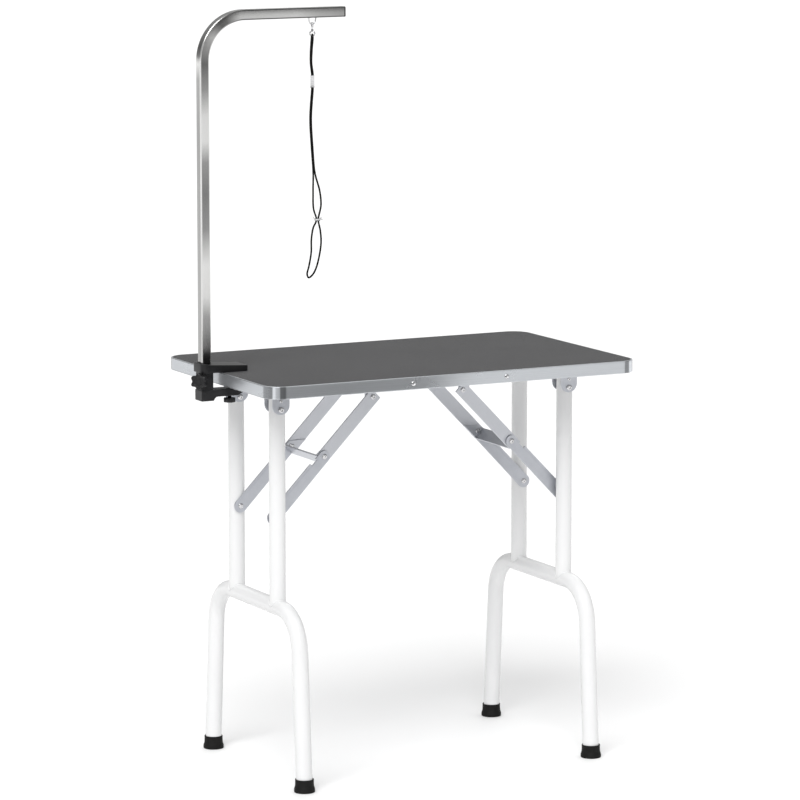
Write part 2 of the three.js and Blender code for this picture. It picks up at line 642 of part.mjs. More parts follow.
// A sleeve round two strands that lie side by side.
function strandSleeve(clearance, wall, height) {
  const depth = 2 * (CORD.radius + clearance);
  const width = CORD.spacing + depth;
  const outer = roundedRectangle(width + 2 * wall, depth + 2 * wall, depth / 2 + wall - 0.01, 4);
  const inner = roundedRectangle(width, depth, depth / 2 - 0.01, 4);
  outer.holes.push(new THREE.Path(inner.getPoints()));
  return prism(outer, -height / 2, height / 2);
}

function nooseCrimp() {
  return strandSleeve(CRIMP.clearance, CRIMP.wall, CRIMP.height).rotateZ(CRIMP.turn)
    .translate(EYE_X, 0, CRIMP.z);
}

// Slider: a sleeve round both strands with a sprung wing on each side.
function nooseSlider() {
  const sleeve = strandSleeve(SLIDER.clearance, SLIDER.wall, SLIDER.height);
  const edge = CORD.spacing / 2 + CORD.radius + SLIDER.clearance;
  const wings = [[-1, 0.9], [1, 0], [1, 0.8]].map(([hand, lift]) => {
    const wing = new THREE.BoxGeometry(SLIDER.wing, 5, 1).translate(SLIDER.wing / 2, 0, 0);
    return wing.rotateY(-lift).rotateZ(hand < 0 ? Math.PI : 0).translate(hand * (edge + 0.4), 0, 0);
  });
  return join(sleeve, ...wings).translate(EYE_X + SLIDER.offset, 0, SLIDER.z);
}

// ------------------------------------------------------------------ assembly
const ENDS = [{ end: -1, word: 'left' }, { end: 1, word: 'right' }];
const SIDES = [{ side: -1, word: 'front' }, { side: 1, word: 'rear' }];
const CORD_NODES = ['noose_cord', 'noose_crimp', 'noose_slider', 'snap_hook'];

const table = new THREE.Group();

function piece(name, geometry, look) {
  geometry.computeVertexNormals();
  const mesh = new THREE.Mesh(geometry, look());
  mesh.name = name;
  table.add(mesh);
}

piece('top_board', topBoard(), LOOK.board);
piece('top_mat', topMat(), LOOK.mat);
piece('edge_trim', edgeTrim(), LOOK.aluminium);
edgeScrewPlaces().forEach((place, index) => {
  const word = place.side < 0 ? 'front' : 'rear';
  piece(`edge_screw_${word}_${index % 2 + 1}`, edgeScrew(place), LOOK.plated);
});

for (const { end, word: endWord } of ENDS) {
  piece(`${endWord}_u_leg`, uLeg(end), LOOK.whitePaint);
  piece(`${endWord}_upper_brace`, upperBrace(end), LOOK.plated);
  for (const { side, word: sideWord } of SIDES) {
    const place = `${endWord}_${sideWord}`;
    piece(`leg_bracket_${place}`, legBracket(end, side), LOOK.plated);
    piece(`leg_pivot_bolt_${place}`, legPivotBolt(end, side), LOOK.plated);
    piece(`upper_tube_${place}`, upperTube(end, side), LOOK.whitePaint);
    piece(`foot_${place}`, foot(end, side), LOOK.rubber);
    piece(`lower_link_${place}`, lowerLink(end, side), LOOK.plated);
    piece(`brace_bracket_${place}`, braceBracket(end, side), LOOK.plated);
    piece(`brace_upper_rivet_${place}`, upperRivet(end, side), LOOK.plated);
    piece(`brace_mid_rivet_${place}`, midRivet(end, side), LOOK.plated);
    piece(`brace_lower_rivet_${place}`, lowerRivet(end, side), LOOK.plated);
  }
}

piece('clamp_body', clampBody(), LOOK.blackPlastic);
piece('post_knob', postKnob(), LOOK.blackPlastic);
piece('clamp_screw', clampScrew(), LOOK.blackPlastic);
piece('clamp_pad', clampPad(), LOOK.rubber);
piece('arm_tube', armTube(), LOOK.stainless);
piece('arm_end_cap', armEndCap(), LOOK.blackPlastic);
piece('arm_eye', armEye(), LOOK.plated);
piece('snap_hook', snapHook(), LOOK.plated);
piece('noose_cord', nooseCord(), LOOK.cord);
piece('noose_crimp', nooseCrimp(), LOOK.plated);
piece('noose_slider', nooseSlider(), LOOK.blackPlastic);

// The clamp overhangs one end, so the whole table is centred on the origin here.
const bounds = new THREE.Box3();
for (const mesh of table.children) {
  if (!CORD_NODES.includes(mesh.name)) bounds.expandByObject(mesh, true);
}
table.position.x = -(bounds.min.x + bounds.max.x) / 2;

const part = new THREE.Group();
part.add(table);

export default part;
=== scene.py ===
"""Looks of the folding grooming table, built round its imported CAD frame."""

import json
import math

import bmesh
import bpy
from mathutils import Matrix, Vector

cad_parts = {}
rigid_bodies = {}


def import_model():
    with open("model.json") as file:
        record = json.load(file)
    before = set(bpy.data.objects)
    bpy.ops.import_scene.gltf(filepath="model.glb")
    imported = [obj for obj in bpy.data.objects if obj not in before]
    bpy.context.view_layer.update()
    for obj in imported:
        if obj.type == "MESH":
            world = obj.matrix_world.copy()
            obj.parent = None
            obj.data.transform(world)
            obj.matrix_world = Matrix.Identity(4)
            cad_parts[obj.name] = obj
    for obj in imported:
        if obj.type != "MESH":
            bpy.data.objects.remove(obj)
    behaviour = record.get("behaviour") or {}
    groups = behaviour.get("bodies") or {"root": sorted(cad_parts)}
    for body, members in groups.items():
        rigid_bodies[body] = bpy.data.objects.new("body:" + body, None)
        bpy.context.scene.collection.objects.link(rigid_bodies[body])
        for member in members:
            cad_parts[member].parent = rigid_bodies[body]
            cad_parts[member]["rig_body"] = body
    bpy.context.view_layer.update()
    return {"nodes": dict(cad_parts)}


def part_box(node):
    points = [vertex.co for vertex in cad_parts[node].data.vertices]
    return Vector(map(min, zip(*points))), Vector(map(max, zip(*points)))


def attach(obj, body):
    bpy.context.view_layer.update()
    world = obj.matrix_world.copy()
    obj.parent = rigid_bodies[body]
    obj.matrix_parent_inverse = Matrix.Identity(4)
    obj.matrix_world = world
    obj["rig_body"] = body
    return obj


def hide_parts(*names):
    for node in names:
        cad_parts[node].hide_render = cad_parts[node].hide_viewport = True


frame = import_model()

# Shape outlines below are in millimetres from the middle of the tabletop, on the floor;
# place() turns them into metres in the CAD frame.
MM = 0.001
trim_low, trim_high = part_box("edge_trim")
TABLE_X = (trim_low.x + trim_high.x) / 2
TOP_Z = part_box("top_mat")[1].z / MM
ENDS = {"left": -1, "right": 1}
SIDES = {"front": -1, "rear": 1}
CORNERS = [(end, side) for end in ENDS for side in SIDES]

# The top: from its middle to its edges, its corner radius, and the underside of its board.
HALF_LENGTH = 405
HALF_WIDTH = 243.5
CORNER_RADIUS = 38
UNDER_BOARD = 779.6

# The leg frames: splay is the sideways run of a leg for each millimetre of its height.
TUBE_RADIUS = 16.1
LEG_X = 319.4
TUBE_Y = 93.2
PIVOT_Z = 736
CROSSBAR_Z = 344
FOOT_Y = 210.5
SPLAY = 0.0697

# The clamp's post, its knob and screw, and the eye under the arm.
POST_X = -430
KNOB_Z = 789
CLAMP_SCREW_X = POST_X + 53
EYE_X = -195

# The cord of the noose, in metres.
CORD_DIAMETER = 0.0036


def place(x, y, z):
    return Vector((TABLE_X + x * MM, y * MM, z * MM))


def plan(outline, x=0.0, y=0.0):
    """An XY outline in millimetres, about a place on the table, as metres in the CAD frame."""
    return [(TABLE_X + (x + u) * MM, (y + v) * MM) for u, v in outline]


# ---------------- camera
# Where the camera stands, the focal length of its lens, and its angles down and to the right.
CAMERA_PLACE = (-3952, -7664, 2045)
CAMERA_LENS = 197.3
CAMERA_DOWN = 8.7505
CAMERA_RIGHT = 27.26


def add_camera():
    data = bpy.data.cameras.new("camera")
    data.lens = CAMERA_LENS
    data.clip_end = 200
    camera = bpy.data.objects.new("camera", data)
    bpy.context.scene.collection.objects.link(camera)
    camera.location = place(*CAMERA_PLACE)
    camera.rotation_euler = (math.radians(90 - CAMERA_DOWN), 0, math.radians(-CAMERA_RIGHT))
    bpy.context.scene.camera = camera


# ---------------- material nodes
class Look:
    """A principled material and the few node moves the looks below share."""

    def __init__(self, name, color, roughness, metallic=0.0, **sockets):
        self.material = bpy.data.materials.new(name)
        self.material.use_nodes = True
        self.tree = self.material.node_tree
        self.shader = self.tree.nodes["Principled BSDF"]
        self.shader.inputs["Base Color"].default_value = (*color, 1)
        self.shader.inputs["Roughness"].default_value = roughness
        self.shader.inputs["Metallic"].default_value = metallic
        for socket, value in sockets.items():
            self.shader.inputs[socket.replace("_", " ")].default_value = value
        self.material.diffuse_color = (*color, 1)

    def node(self, kind, inputs=None, **settings):
        made = self.tree.nodes.new(kind)
        for key, value in settings.items():
            setattr(made, key, value)
        for key, value in (inputs or {}).items():
            if isinstance(value, bpy.types.NodeSocket):
                self.tree.links.new(value, made.inputs[key])
            else:
                made.inputs[key].default_value = value
        return made

    def coordinates(self, scale, kind="Object"):
        source = self.node("ShaderNodeTexCoord").outputs[kind]
        return self.node("ShaderNodeMapping", {"Vector": source, "Scale": scale}).outputs[0]

    def noise(self, scale, detail=3.0, stretch=(1, 1, 1), kind="Object", rough=0.55):
        where = self.coordinates(stretch, kind)
        return self.node("ShaderNodeTexNoise", {
            "Vector": where, "Scale": scale, "Detail": detail, "Roughness": rough,
        }).outputs["Fac"]

    def math(self, operation, a, b=0.0):
        return self.node("ShaderNodeMath", {0: a, 1: b}, operation=operation).outputs[0]

    def ramp(self, value, *stops):
        made = self.node("ShaderNodeValToRGB", {"Fac": value})
        elements = made.color_ramp.elements
        while len(elements) < len(stops):
            elements.new(0.5)
        for element, (position, tone) in zip(elements, stops):
            element.position = position
            element.color = (*tone, 1) if isinstance(tone, tuple) else (tone, tone, tone, 1)
        return made.outputs["Color"]

    def mix(self, factor, a, b):
        return self.node("ShaderNodeMix", {0: factor, 6: a, 7: b}, data_type="RGBA").outputs[2]

    def product(self, a, b):
        made = self.node(
            "ShaderNodeMix", {0: 1.0, 6: a, 7: b}, data_type="RGBA", blend_type="MULTIPLY")
        return made.outputs[2]

    def color(self, value):
        self.tree.links.new(value, self.shader.inputs["Base Color"])

    def roughness(self, value, low, high):
        made = self.node("ShaderNodeMapRange", {"Value": value, "To Min": low, "To Max": high})
        self.tree.links.new(made.outputs["Result"], self.shader.inputs["Roughness"])

    def bump(self, *layers):
        """Each layer is (height, distance in metres, strength), from coarse to fine."""
        normal = None
        for height, distance, strength in layers:
            made = self.node("ShaderNodeBump", {
                "Height": height, "Distance": distance, "Strength": strength})
            if normal is not None:
                self.tree.links.new(normal, made.inputs["Normal"])
            normal = made.outputs["Normal"]
        self.tree.links.new(normal, self.shader.inputs["Normal"])

    def split(self, kind="Object", scale=(1, 1, 1)):
        parts = self.node("ShaderNodeSeparateXYZ", {"Vector": self.coordinates(scale, kind)})
        return parts.outputs["X"], parts.outputs["Y"], parts.outputs["Z"]

    def edge_wear(self, low, high):
        worn = self.node("ShaderNodeNewGeometry").outputs["Pointiness"]
        return self.ramp(worn, (low, 0.0), (high, 1.0))


def mat_rubber():
    """Anti-slip sheet: rows of small raised diamonds on grained rubber."""
    look = Look("mat_rubber", (0.105, 0.105, 0.107), 0.82, Specular_IOR_Level=0.3)
    spacing = 0.0058
    turns = 2 * math.pi / spacing
    x, y, _ = look.split()
    along = look.math("SINE", look.math("MULTIPLY", look.math("ADD", x, y), turns))
    across = look.math("SINE", look.math("MULTIPLY", look.math("SUBTRACT", x, y), turns))
    pips = look.math("MULTIPLY", along, across)
    raised = look.ramp(pips, (0.0, 0.0), (0.45, 1.0))
    grain = look.noise(1400, 2)
    cloud = look.noise(6, 4)
    base = look.mix(raised, (0.043, 0.043, 0.044, 1), (0.142, 0.142, 0.145, 1))
    speck = look.ramp(grain, (0.3, 0.93), (0.75, 1.08))
    shade = look.ramp(cloud, (0.3, 0.95), (0.7, 1.04))
    look.color(look.product(look.product(base, speck), shade))
    look.roughness(raised, 0.86, 0.68)
    look.bump((raised, 0.00035, 0.7), (grain, 0.0001, 0.35))
    return look.material


def trim_aluminium():
    """Satin anodised extrusion with fine lines drawn along its length.

    The corners carry painted reflections: light and dark bands in the colour, by how far their faces turn
    from the long edges.
    """
    look = Look("trim_aluminium", (0.58, 0.60, 0.63), 0.2, 0.78)
    lines = look.noise(260, 3, stretch=(0.02, 0.02, 6))
    smudge = look.noise(9, 4)
    tone = look.ramp(lines, (0.3, (0.50, 0.52, 0.545)), (0.7, (0.58, 0.60, 0.625)))
    facing = look.node("ShaderNodeSeparateXYZ", {
        "Vector": look.node("ShaderNodeTexCoord").outputs["Normal"]}).outputs["X"]
    # painted reflections: light and dark bands multiplied into the colour by which way each face turns
    painted_reflection_bands = look.ramp(
        look.math("ABSOLUTE", facing), (0.0, 1.0), (0.1, 0.9), (0.16, 0.4), (0.4, 0.45), (0.45, 1.3),
        (0.70, 1.25), (0.76, 0.36), (0.98, 0.5), (0.998, 1.0))
    look.color(look.product(tone, painted_reflection_bands))
    look.roughness(smudge, 0.24, 0.32)
    look.bump((lines, 0.00004, 0.35), (look.noise(2600, 2), 0.00002, 0.25))
    return look.material


def white_powder_coat():
    """White paint with a soft gloss and a faint orange peel."""
    look = Look("white_powder_coat", (0.90, 0.90, 0.905), 0.26, Coat_Weight=0.2, Coat_Roughness=0.15)
    peel = look.noise(420, 2)
    cloud = look.noise(5, 3)
    look.color(look.ramp(cloud, (0.3, (0.755, 0.757, 0.76)), (0.7, (0.78, 0.781, 0.783))))
    look.roughness(look.noise(60, 3), 0.18, 0.3)
    look.bump((peel, 0.00006, 0.3))
    return look.material


def zinc_plate():
    """Bright zinc on rolled steel strip: cool grey with a faint cloudy crystal."""
    look = Look("zinc_plate", (0.47, 0.485, 0.54), 0.4, 0.9)
    cloud = look.noise(45, 5)
    crystal = look.node("ShaderNodeTexVoronoi", {
        "Vector": look.coordinates((1, 1, 1)), "Scale": 420.0}).outputs["Distance"]
    fine = look.noise(900, 2, stretch=(1, 1, 0.25))
    tone = look.ramp(cloud, (0.28, (0.455, 0.47, 0.51)), (0.72, (0.525, 0.54, 0.58)))
    worn = look.mix(look.edge_wear(0.52, 0.6), tone, (0.66, 0.67, 0.70, 1))
    look.color(worn)
    dull = look.math("ADD", look.math("MULTIPLY", cloud, 0.6), look.math("MULTIPLY", crystal, 0.5))
    look.roughness(dull, 0.3, 0.5)
    look.bump((cloud, 0.0002, 0.12), (fine, 0.00003, 0.3))
    return look.material


def brushed_stainless():
    """Polished square tube: each flat carries its own long light and dark bands.

    UV runs in metres, round the section and then up the post and along the arm. The bands are painted
    reflections, laid into the colour along that UV.
    """
    look = Look("brushed_stainless", (0.5, 0.5, 0.5), 0.2, 1.0, Anisotropic=0.3)
    girth = 0.0759
    around, length, _ = look.split("UV", (1 / girth, 1, 1))
    lines = look.noise(900, 4, stretch=(1, 0.012, 1), kind="UV", rough=0.7)
    broad = look.noise(120, 2, stretch=(1, 0.03, 1), kind="UV")
    # painted reflections: light and dark bands up the post and along the arm, on two of the flats
    sides = look.ramp(
        length, (0.06, 0.03), (0.085, 0.06), (0.1, 0.42), (0.16, 0.4), (0.2, 0.75), (0.26, 0.78), (0.33, 0.3),
        (0.4, 0.22), (0.46, 0.32), (0.5, 0.75), (0.55, 0.72), (0.6, 0.32), (0.65, 0.15), (0.69, 0.34),
        (0.705, 0.45), (0.735, 0.12), (0.75, 0.15), (0.78, 0.5), (0.9, 0.58), (0.95, 0.42), (1.0, 0.35))
    # painted reflections on the other two flats
    outer = look.ramp(
        length, (0.0, 0.38), (0.2, 0.44), (0.5, 0.38), (0.62, 0.44), (0.65, 0.85), (0.66, 0.5), (0.68, 0.22),
        (0.71, 0.48), (0.76, 0.5), (0.8, 0.75))
    # painted reflections on the rounded corners of the tube
    edges = look.ramp(
        length, (0.0, 0.6), (0.2, 0.8), (0.64, 0.85), (0.72, 0.8), (0.76, 0.25), (0.8, 0.1), (1.0, 0.14))
    on_sides = look.ramp(
        around, (0.28, 0.0), (0.3, 1.0), (0.5, 1.0), (0.52, 0.0), (0.78, 0.0), (0.8, 1.0))
    on_edges = look.ramp(
        around, (0.045, 1.0), (0.055, 0.0), (0.243, 0.0), (0.253, 1.0), (0.295, 1.0), (0.305, 0.0),
        (0.495, 0.0), (0.505, 1.0), (0.545, 1.0), (0.555, 0.0), (0.745, 0.0), (0.755, 1.0), (0.795, 1.0),
        (0.805, 0.0))
    # tone holds the painted reflections of every flat and corner; the brush lines below are the steel's own
    tone = look.mix(on_edges, look.mix(on_sides, outer, sides), edges)
    brush = look.ramp(lines, (0.25, (0.84, 0.835, 0.82)), (0.75, (1.0, 1.0, 0.995)))
    look.color(look.product(tone, brush))
    look.roughness(look.math("MULTIPLY", look.math("ADD", lines, broad), 0.5), 0.14, 0.3)
    look.bump((lines, 0.00003, 0.5), (broad, 0.00006, 0.15))
    return look.material


def bright_wire():
    """Chrome on wire and rivets, with small dull patches of wear."""
    look = Look("bright_wire", (0.55, 0.55, 0.56), 0.12, 1.0)
    wear = look.noise(700, 3)
    look.color(look.ramp(wear, (0.35, (0.42, 0.42, 0.43)), (0.65, (0.84, 0.84, 0.85))))
    look.roughness(wear, 0.07, 0.22)
    look.bump((wear, 0.00003, 0.25))
    return look.material


def moulded_plastic():
    """Glass-filled black plastic with a fine spark-eroded grain and rubbed edges."""
    look = Look("moulded_plastic", (0.012, 0.012, 0.013), 0.4, Specular_IOR_Level=0.31)
    grain = look.noise(1500, 2)
    cloud = look.noise(30, 4)
    tone = look.ramp(cloud, (0.3, (0.006, 0.006, 0.007)), (0.7, (0.013, 0.013, 0.014)))
    look.color(look.mix(look.edge_wear(0.53, 0.66), tone, (0.035, 0.035, 0.037, 1)))
    look.roughness(cloud, 0.32, 0.45)
    look.bump((grain, 0.00008, 0.35))
    return look.material


def foot_rubber():
    """Black rubber with a trace of dust."""
    look = Look("foot_rubber", (0.006, 0.006, 0.006), 0.6, Specular_IOR_Level=0.2)
    grain = look.noise(900, 3)
    dust = look.noise(70, 5)
    look.color(look.ramp(dust, (0.35, (0.0035, 0.0035, 0.0035)), (0.8, (0.010, 0.0098, 0.0095))))
    look.roughness(dust, 0.5, 0.8)
    look.bump((grain, 0.0001, 0.4))
    return look.material


def braided_cord():
    """Sixteen-strand braid: two sets of strands that wind round the cord both ways."""
    look = Look("braided_cord", (0.006, 0.006, 0.006), 0.8, Specular_IOR_Level=0.1)
    strands_each_way = 8
    spacing = 0.0021
    u, v, _ = look.split("UV")
    around = look.math("MULTIPLY", u, strands_each_way / (CORD_DIAMETER / 2))
    along = look.math("MULTIPLY", v, 2 * math.pi / spacing)
    one = look.math("SINE", look.math("ADD", around, along))
    two = look.math("SINE", look.math("SUBTRACT", around, along))
    strands = look.math("ADD", look.math("MULTIPLY", look.math("MAXIMUM", one, two), 0.5), 0.5)
    fuzz = look.noise(4000, 2)
    tone = look.ramp(strands, (0.25, (0.0012, 0.0012, 0.0012)), (0.9, (0.006, 0.006, 0.006)))
    look.color(tone)
    look.roughness(fuzz, 0.65, 0.9)
    look.bump((strands, 0.00018, 0.8), (fuzz, 0.00005, 0.4))
    return look.material


def grey_laminate():
    """Grey backing sheet with a faint speckle and scuffs from folding."""
    look = Look("grey_laminate", (0.36, 0.365, 0.37), 0.6)
    speck = look.noise(1100, 3)
    scuff = look.noise(14, 5, stretch=(1, 2.4, 1))
    tone = look.ramp(speck, (0.32, (0.31, 0.315, 0.32)), (0.7, (0.41, 0.415, 0.42)))
    look.color(look.mix(look.ramp(scuff, (0.5, 0.0), (0.8, 0.35)), tone, (0.48, 0.48, 0.48, 1)))
    look.roughness(scuff, 0.5, 0.7)
    look.bump((speck, 0.00008, 0.3))
    return look.material


LOOKS = {
    "mat": mat_rubber(),
    "trim": trim_aluminium(),
    "white_paint": white_powder_coat(),
    "plated_steel": zinc_plate(),
    "stainless": brushed_stainless(),
    "chrome": bright_wire(),
    "black_plastic": moulded_plastic(),
    "black_rubber": foot_rubber(),
    "cord": braided_cord(),
    "board": grey_laminate(),
}


# ---------------- mesh tools
def piece(name, mesh, slot, body, stands_for=(), sharp=35):
    """Dresses a finished mesh and puts it on its CAD body; edges above sharp degrees stay crisp."""
    mesh.materials.clear()
    mesh.materials.append(LOOKS[slot])
    mesh.shade_smooth()
    mesh.set_sharp_from_angle(angle=math.radians(sharp))
    made = bpy.data.objects.new(name, mesh)
    bpy.context.scene.collection.objects.link(made)
    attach(made, body)
    if stands_for:
        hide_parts(*stands_for)
    return made


def mesh_of(name, points, faces, uvs=None):
    mesh = bpy.data.meshes.new(name)
    mesh.from_pydata(points, [], faces)
    if uvs:
        layer = mesh.uv_layers.new(name="UVMap")
        for index, pair in enumerate(uvs):
            layer.data[index].uv = pair
    mesh.validate()
    return mesh


def joined(name, *meshes):
    """One mesh out of several that belong to one physical piece."""
    whole = bmesh.new()
    for mesh in meshes:
        whole.from_mesh(mesh)
    result = bpy.data.meshes.new(name)
    whole.to_mesh(result)
    whole.free()
    return result


def turned_to(mesh, direction, origin):
    """Turns a mesh made along +Z to point along a direction, from an origin."""
    turn = Vector((0, 0, 1)).rotation_difference(Vector(direction)).to_matrix().to_4x4()
    mesh.transform(Matrix.Translation(origin) @ turn)
    return mesh


def moved(mesh, x, y, z):
    """Moves a mesh to a place on the table."""
    mesh.transform(Matrix.Translation(place(x, y, z)))
    return mesh


def eased(mesh, width, segments=2):
    """Rounds the edges of a mesh that turn by more than 40 degrees; width is in millimetres."""
    work = bmesh.new()
    work.from_mesh(mesh)
    bmesh.ops.remove_doubles(work, verts=work.verts, dist=1e-7)
    limit = math.radians(40)
    edges = [e for e in work.edges if e.is_manifold and e.calc_face_angle(0) > limit]
    bmesh.ops.bevel(
        work, geom=edges, offset=width * MM, segments=segments, profile=0.6,
        affect="EDGES", clamp_overlap=True)
    work.to_mesh(mesh)
    work.free()
    return mesh


def outward(mesh, merge=0.0):
    """Turns all faces outward, once points closer than merge metres are one."""
    work = bmesh.new()
    work.from_mesh(mesh)
    if merge:
        bmesh.ops.remove_doubles(work, verts=work.verts, dist=merge)
    bmesh.ops.recalc_face_normals(work, faces=work.faces)
    work.to_mesh(mesh)
    work.free()
    return mesh


def skin(rings, around, closed=False):
    """The faces between rings of points; closed joins the last ring to the first."""
    faces = []
    for i in range(rings if closed else rings - 1):
        j = (i + 1) % rings
        for k in range(around):
            n = (k + 1) % around
            faces.append((i * around + k, i * around + n, j * around + n, j * around + k))
    return faces


def end_caps(rings, around):
    """The first ring and the last one, as faces."""
    return [tuple(range(around))[::-1], tuple(range((rings - 1) * around, rings * around))]


def prism(name, outline, low, high):
    """A straight-sided solid on an XY outline of metre points."""
    count = len(outline)
    points = [(x, y, z) for z in (low, high) for x, y in outline]
    return outward(mesh_of(name, points, end_caps(2, count) + skin(2, count)))


def plate(name, outline, low_y, high_y, ease=0.5):
    """A plate whose outline, in table millimetres, lies in the XZ plane."""
    points = [place(x, 0, z) for x, z in outline]
    mesh = prism(name, [(p.x, p.z) for p in points], -high_y * MM, -low_y * MM)
    mesh.transform(Matrix.Rotation(math.pi / 2, 4, "X"))
    return eased(mesh, ease) if ease else mesh


def lathe(name, profile, sides=40, lobe=None):
    """Revolves (radius, height) millimetre pairs; lobe(angle) scales the radius."""
    points = []
    for radius, height in profile:
        for i in range(sides):
            angle = 2 * math.pi * i / sides
            reach = radius * (lobe(angle) if lobe else 1.0)
            points.append((reach * math.cos(angle) * MM, reach * math.sin(angle) * MM, height * MM))
    rings = len(profile)
    return outward(mesh_of(name, points, skin(rings, sides) + end_caps(rings, sides)))


def arc(cx, cy, radius, start, stop, count):
    """Points along a circular arc, with angles in degrees."""
    found = []
    for i in range(count + 1):
        angle = math.radians(start + (stop - start) * i / count)
        found.append((cx + radius * math.cos(angle), cy + radius * math.sin(angle)))
    return found


def rounded_rectangle(width, depth, radius, count=8):
    """Points round a rectangle, with count steps in each corner."""
    x, y = width / 2 - radius, depth / 2 - radius
    corners = [(x, y, 0), (-x, y, 90), (-x, -y, 180), (x, -y, 270)]
    return [p for cx, cy, a in corners for p in arc(cx, cy, radius, a, a + 90, count)]


def sweep(name, path, section, side=None, loop=False):
    """Sweeps a section of millimetre pairs along a path of metre points.

    side is the normal of the path's plane; without it the section is carried along the path.
    UV runs in metres: round the section, then along the path.
    """
    count, around = len(path), len(section)
    tangents = []
    for i in range(count):
        before = path[(i - 1) % count] if loop or i else path[0]
        after = path[(i + 1) % count] if loop or i < count - 1 else path[-1]
        tangents.append((after - before).normalized())
    across = side or tangents[0].orthogonal().normalized()
    points, stations, gone = [], [], 0.0
    for i, tangent in enumerate(tangents):
        if not side and i:
            across = tangents[i - 1].rotation_difference(tangent) @ across
        other = tangent.cross(across).normalized()
        stretch = 1.0
        if side and 0 < i < count - 1:
            turn = (path[i] - path[i - 1]).angle(path[i + 1] - path[i], 0)
            stretch = 1 / math.cos(turn / 2)
        points += [path[i] + across * (a * MM) + other * (b * MM * stretch) for a, b in section]
        gone += (path[i] - path[i - 1]).length if i else 0.0
        stations.append(gone)
    reach = [0.0]
    for i in range(around):
        a, b = Vector(section[i]), Vector(section[(i + 1) % around])
        reach.append(reach[-1] + (b - a).length * MM)
    if loop:
        stations.append(gone + (path[0] - path[-1]).length)
    uvs = []
    for near, far in zip(stations, stations[1:]):
        for left, right in zip(reach, reach[1:]):
            uvs += [(left, near), (right, near), (right, far), (left, far)]
    faces = skin(count, around, loop)
    if not loop:
        faces += end_caps(count, around)
        uvs += [(0.0, 0.0)] * (2 * around)
    return outward(mesh_of(name, points, faces, uvs))


def circle(radius, sides):
    angles = [2 * math.pi * i / sides for i in range(sides)]
    return [(radius * math.cos(angle), radius * math.sin(angle)) for angle in angles]


def catmull(points, steps):
    """A smooth line through the points, centripetal, with the same steps in each span."""
    line = []
    ends = [2 * points[0] - points[1], *points, 2 * points[-1] - points[-2]]
    for a, b, c, d in zip(ends, ends[1:], ends[2:], ends[3:]):
        t1 = max((b - a).length, 1e-9) ** 0.5
        t2 = t1 + (c - b).length ** 0.5
        t3 = t2 + max((d - c).length, 1e-9) ** 0.5
        for i in range(steps):
            t = t1 + (t2 - t1) * i / steps
            ab = a.lerp(b, t / t1)
            bc = b.lerp(c, (t - t1) / (t2 - t1))
            cd = c.lerp(d, (t - t2) / (t3 - t2))
            line.append(ab.lerp(bc, t / t2).lerp(bc.lerp(cd, (t - t1) / (t3 - t1)), (t - t1) / (t2 - t1)))
    return [*line, points[-1]]


def combined(mesh, operation, *others):
    """A mesh after a boolean operation with each of the others in turn."""
    target = bpy.data.objects.new("work", mesh)
    bpy.context.scene.collection.objects.link(target)
    helpers = []
    for other in others:
        helper = bpy.data.objects.new("tool", other)
        bpy.context.scene.collection.objects.link(helper)
        helpers.append(helper)
        modifier = target.modifiers.new("cut", "BOOLEAN")
        modifier.operation = operation
        modifier.solver = "EXACT"
        modifier.object = helper
    depsgraph = bpy.context.evaluated_depsgraph_get()
    result = bpy.data.meshes.new_from_object(target.evaluated_get(depsgraph))
    for used in [target, *helpers]:
        bpy.data.objects.remove(used)
    return result


# ---------------- noose
# The cord's route: metres from the eye along X and Y, and height above the floor.
CORD_ROUTE = [
    (-0.0017, -0.001, 1.3594), (-0.0017, -0.001, 1.373), (-0.0052, -0.0028, 1.395),
    (-0.0062, -0.0048, 1.413), (-0.0058, -0.0056, 1.4275), (-0.0048, -0.0058, 1.4405),
    (-0.0034, -0.0045, 1.4477), (0.0, 0.0, 1.4506), (0.0034, 0.0045, 1.4477),
    (0.004, 0.0058, 1.4405), (0.0026, 0.0056, 1.4275), (0.0011, 0.0048, 1.413),
    (-0.0004, 0.0028, 1.395), (0.0017, 0.001, 1.373), (0.0017, 0.001, 1.346),
    (-0.0024, 0.001, 1.2878), (0.0008, 0.001, 1.2278), (0.0054, 0.001, 1.1798),
    (0.0154, 0.0002, 1.1438), (0.0178, 0.0, 1.1158), (0.0119, 0.0, 1.0878),
    (0.0155, -0.001, 1.0678), (0.0162, -0.0035, 1.0458), (0.0116, -0.0065, 1.0218),
    (0.0026, -0.0085, 0.9938), (-0.004, -0.006, 0.9808), (-0.0092, 0.0005, 0.9748),
    (-0.0096, 0.0065, 0.9808), (-0.0044, 0.0092, 0.9958), (-0.0006, 0.0065, 1.0228),
    (-0.0015, 0.0035, 1.0498), (0.001, 0.0008, 1.0718), (0.0079, 0.0, 1.0878),
    (0.0016, 0.0, 1.1098), (0.0006, -0.0002, 1.1438), (0.0006, -0.001, 1.1818),
    (-0.0026, -0.001, 1.2278), (-0.0058, -0.001, 1.2878), (-0.0017, -0.001, 1.346),
    (-0.0017, -0.001, 1.3586),
]


def add_noose():
    eye = place(EYE_X, 0, 0)
    points = [Vector((eye.x + x, eye.y + y, z)) for x, y, z in CORD_ROUTE]
    line = catmull(points, 8)
    mesh = sweep("noose_line", line, circle(CORD_DIAMETER / 2 / MM, 16))
    cord = piece("noose_line", mesh, "cord", "noose", ["noose_cord"], sharp=60)
    add_crimp()
    add_slider()
    add_hook()


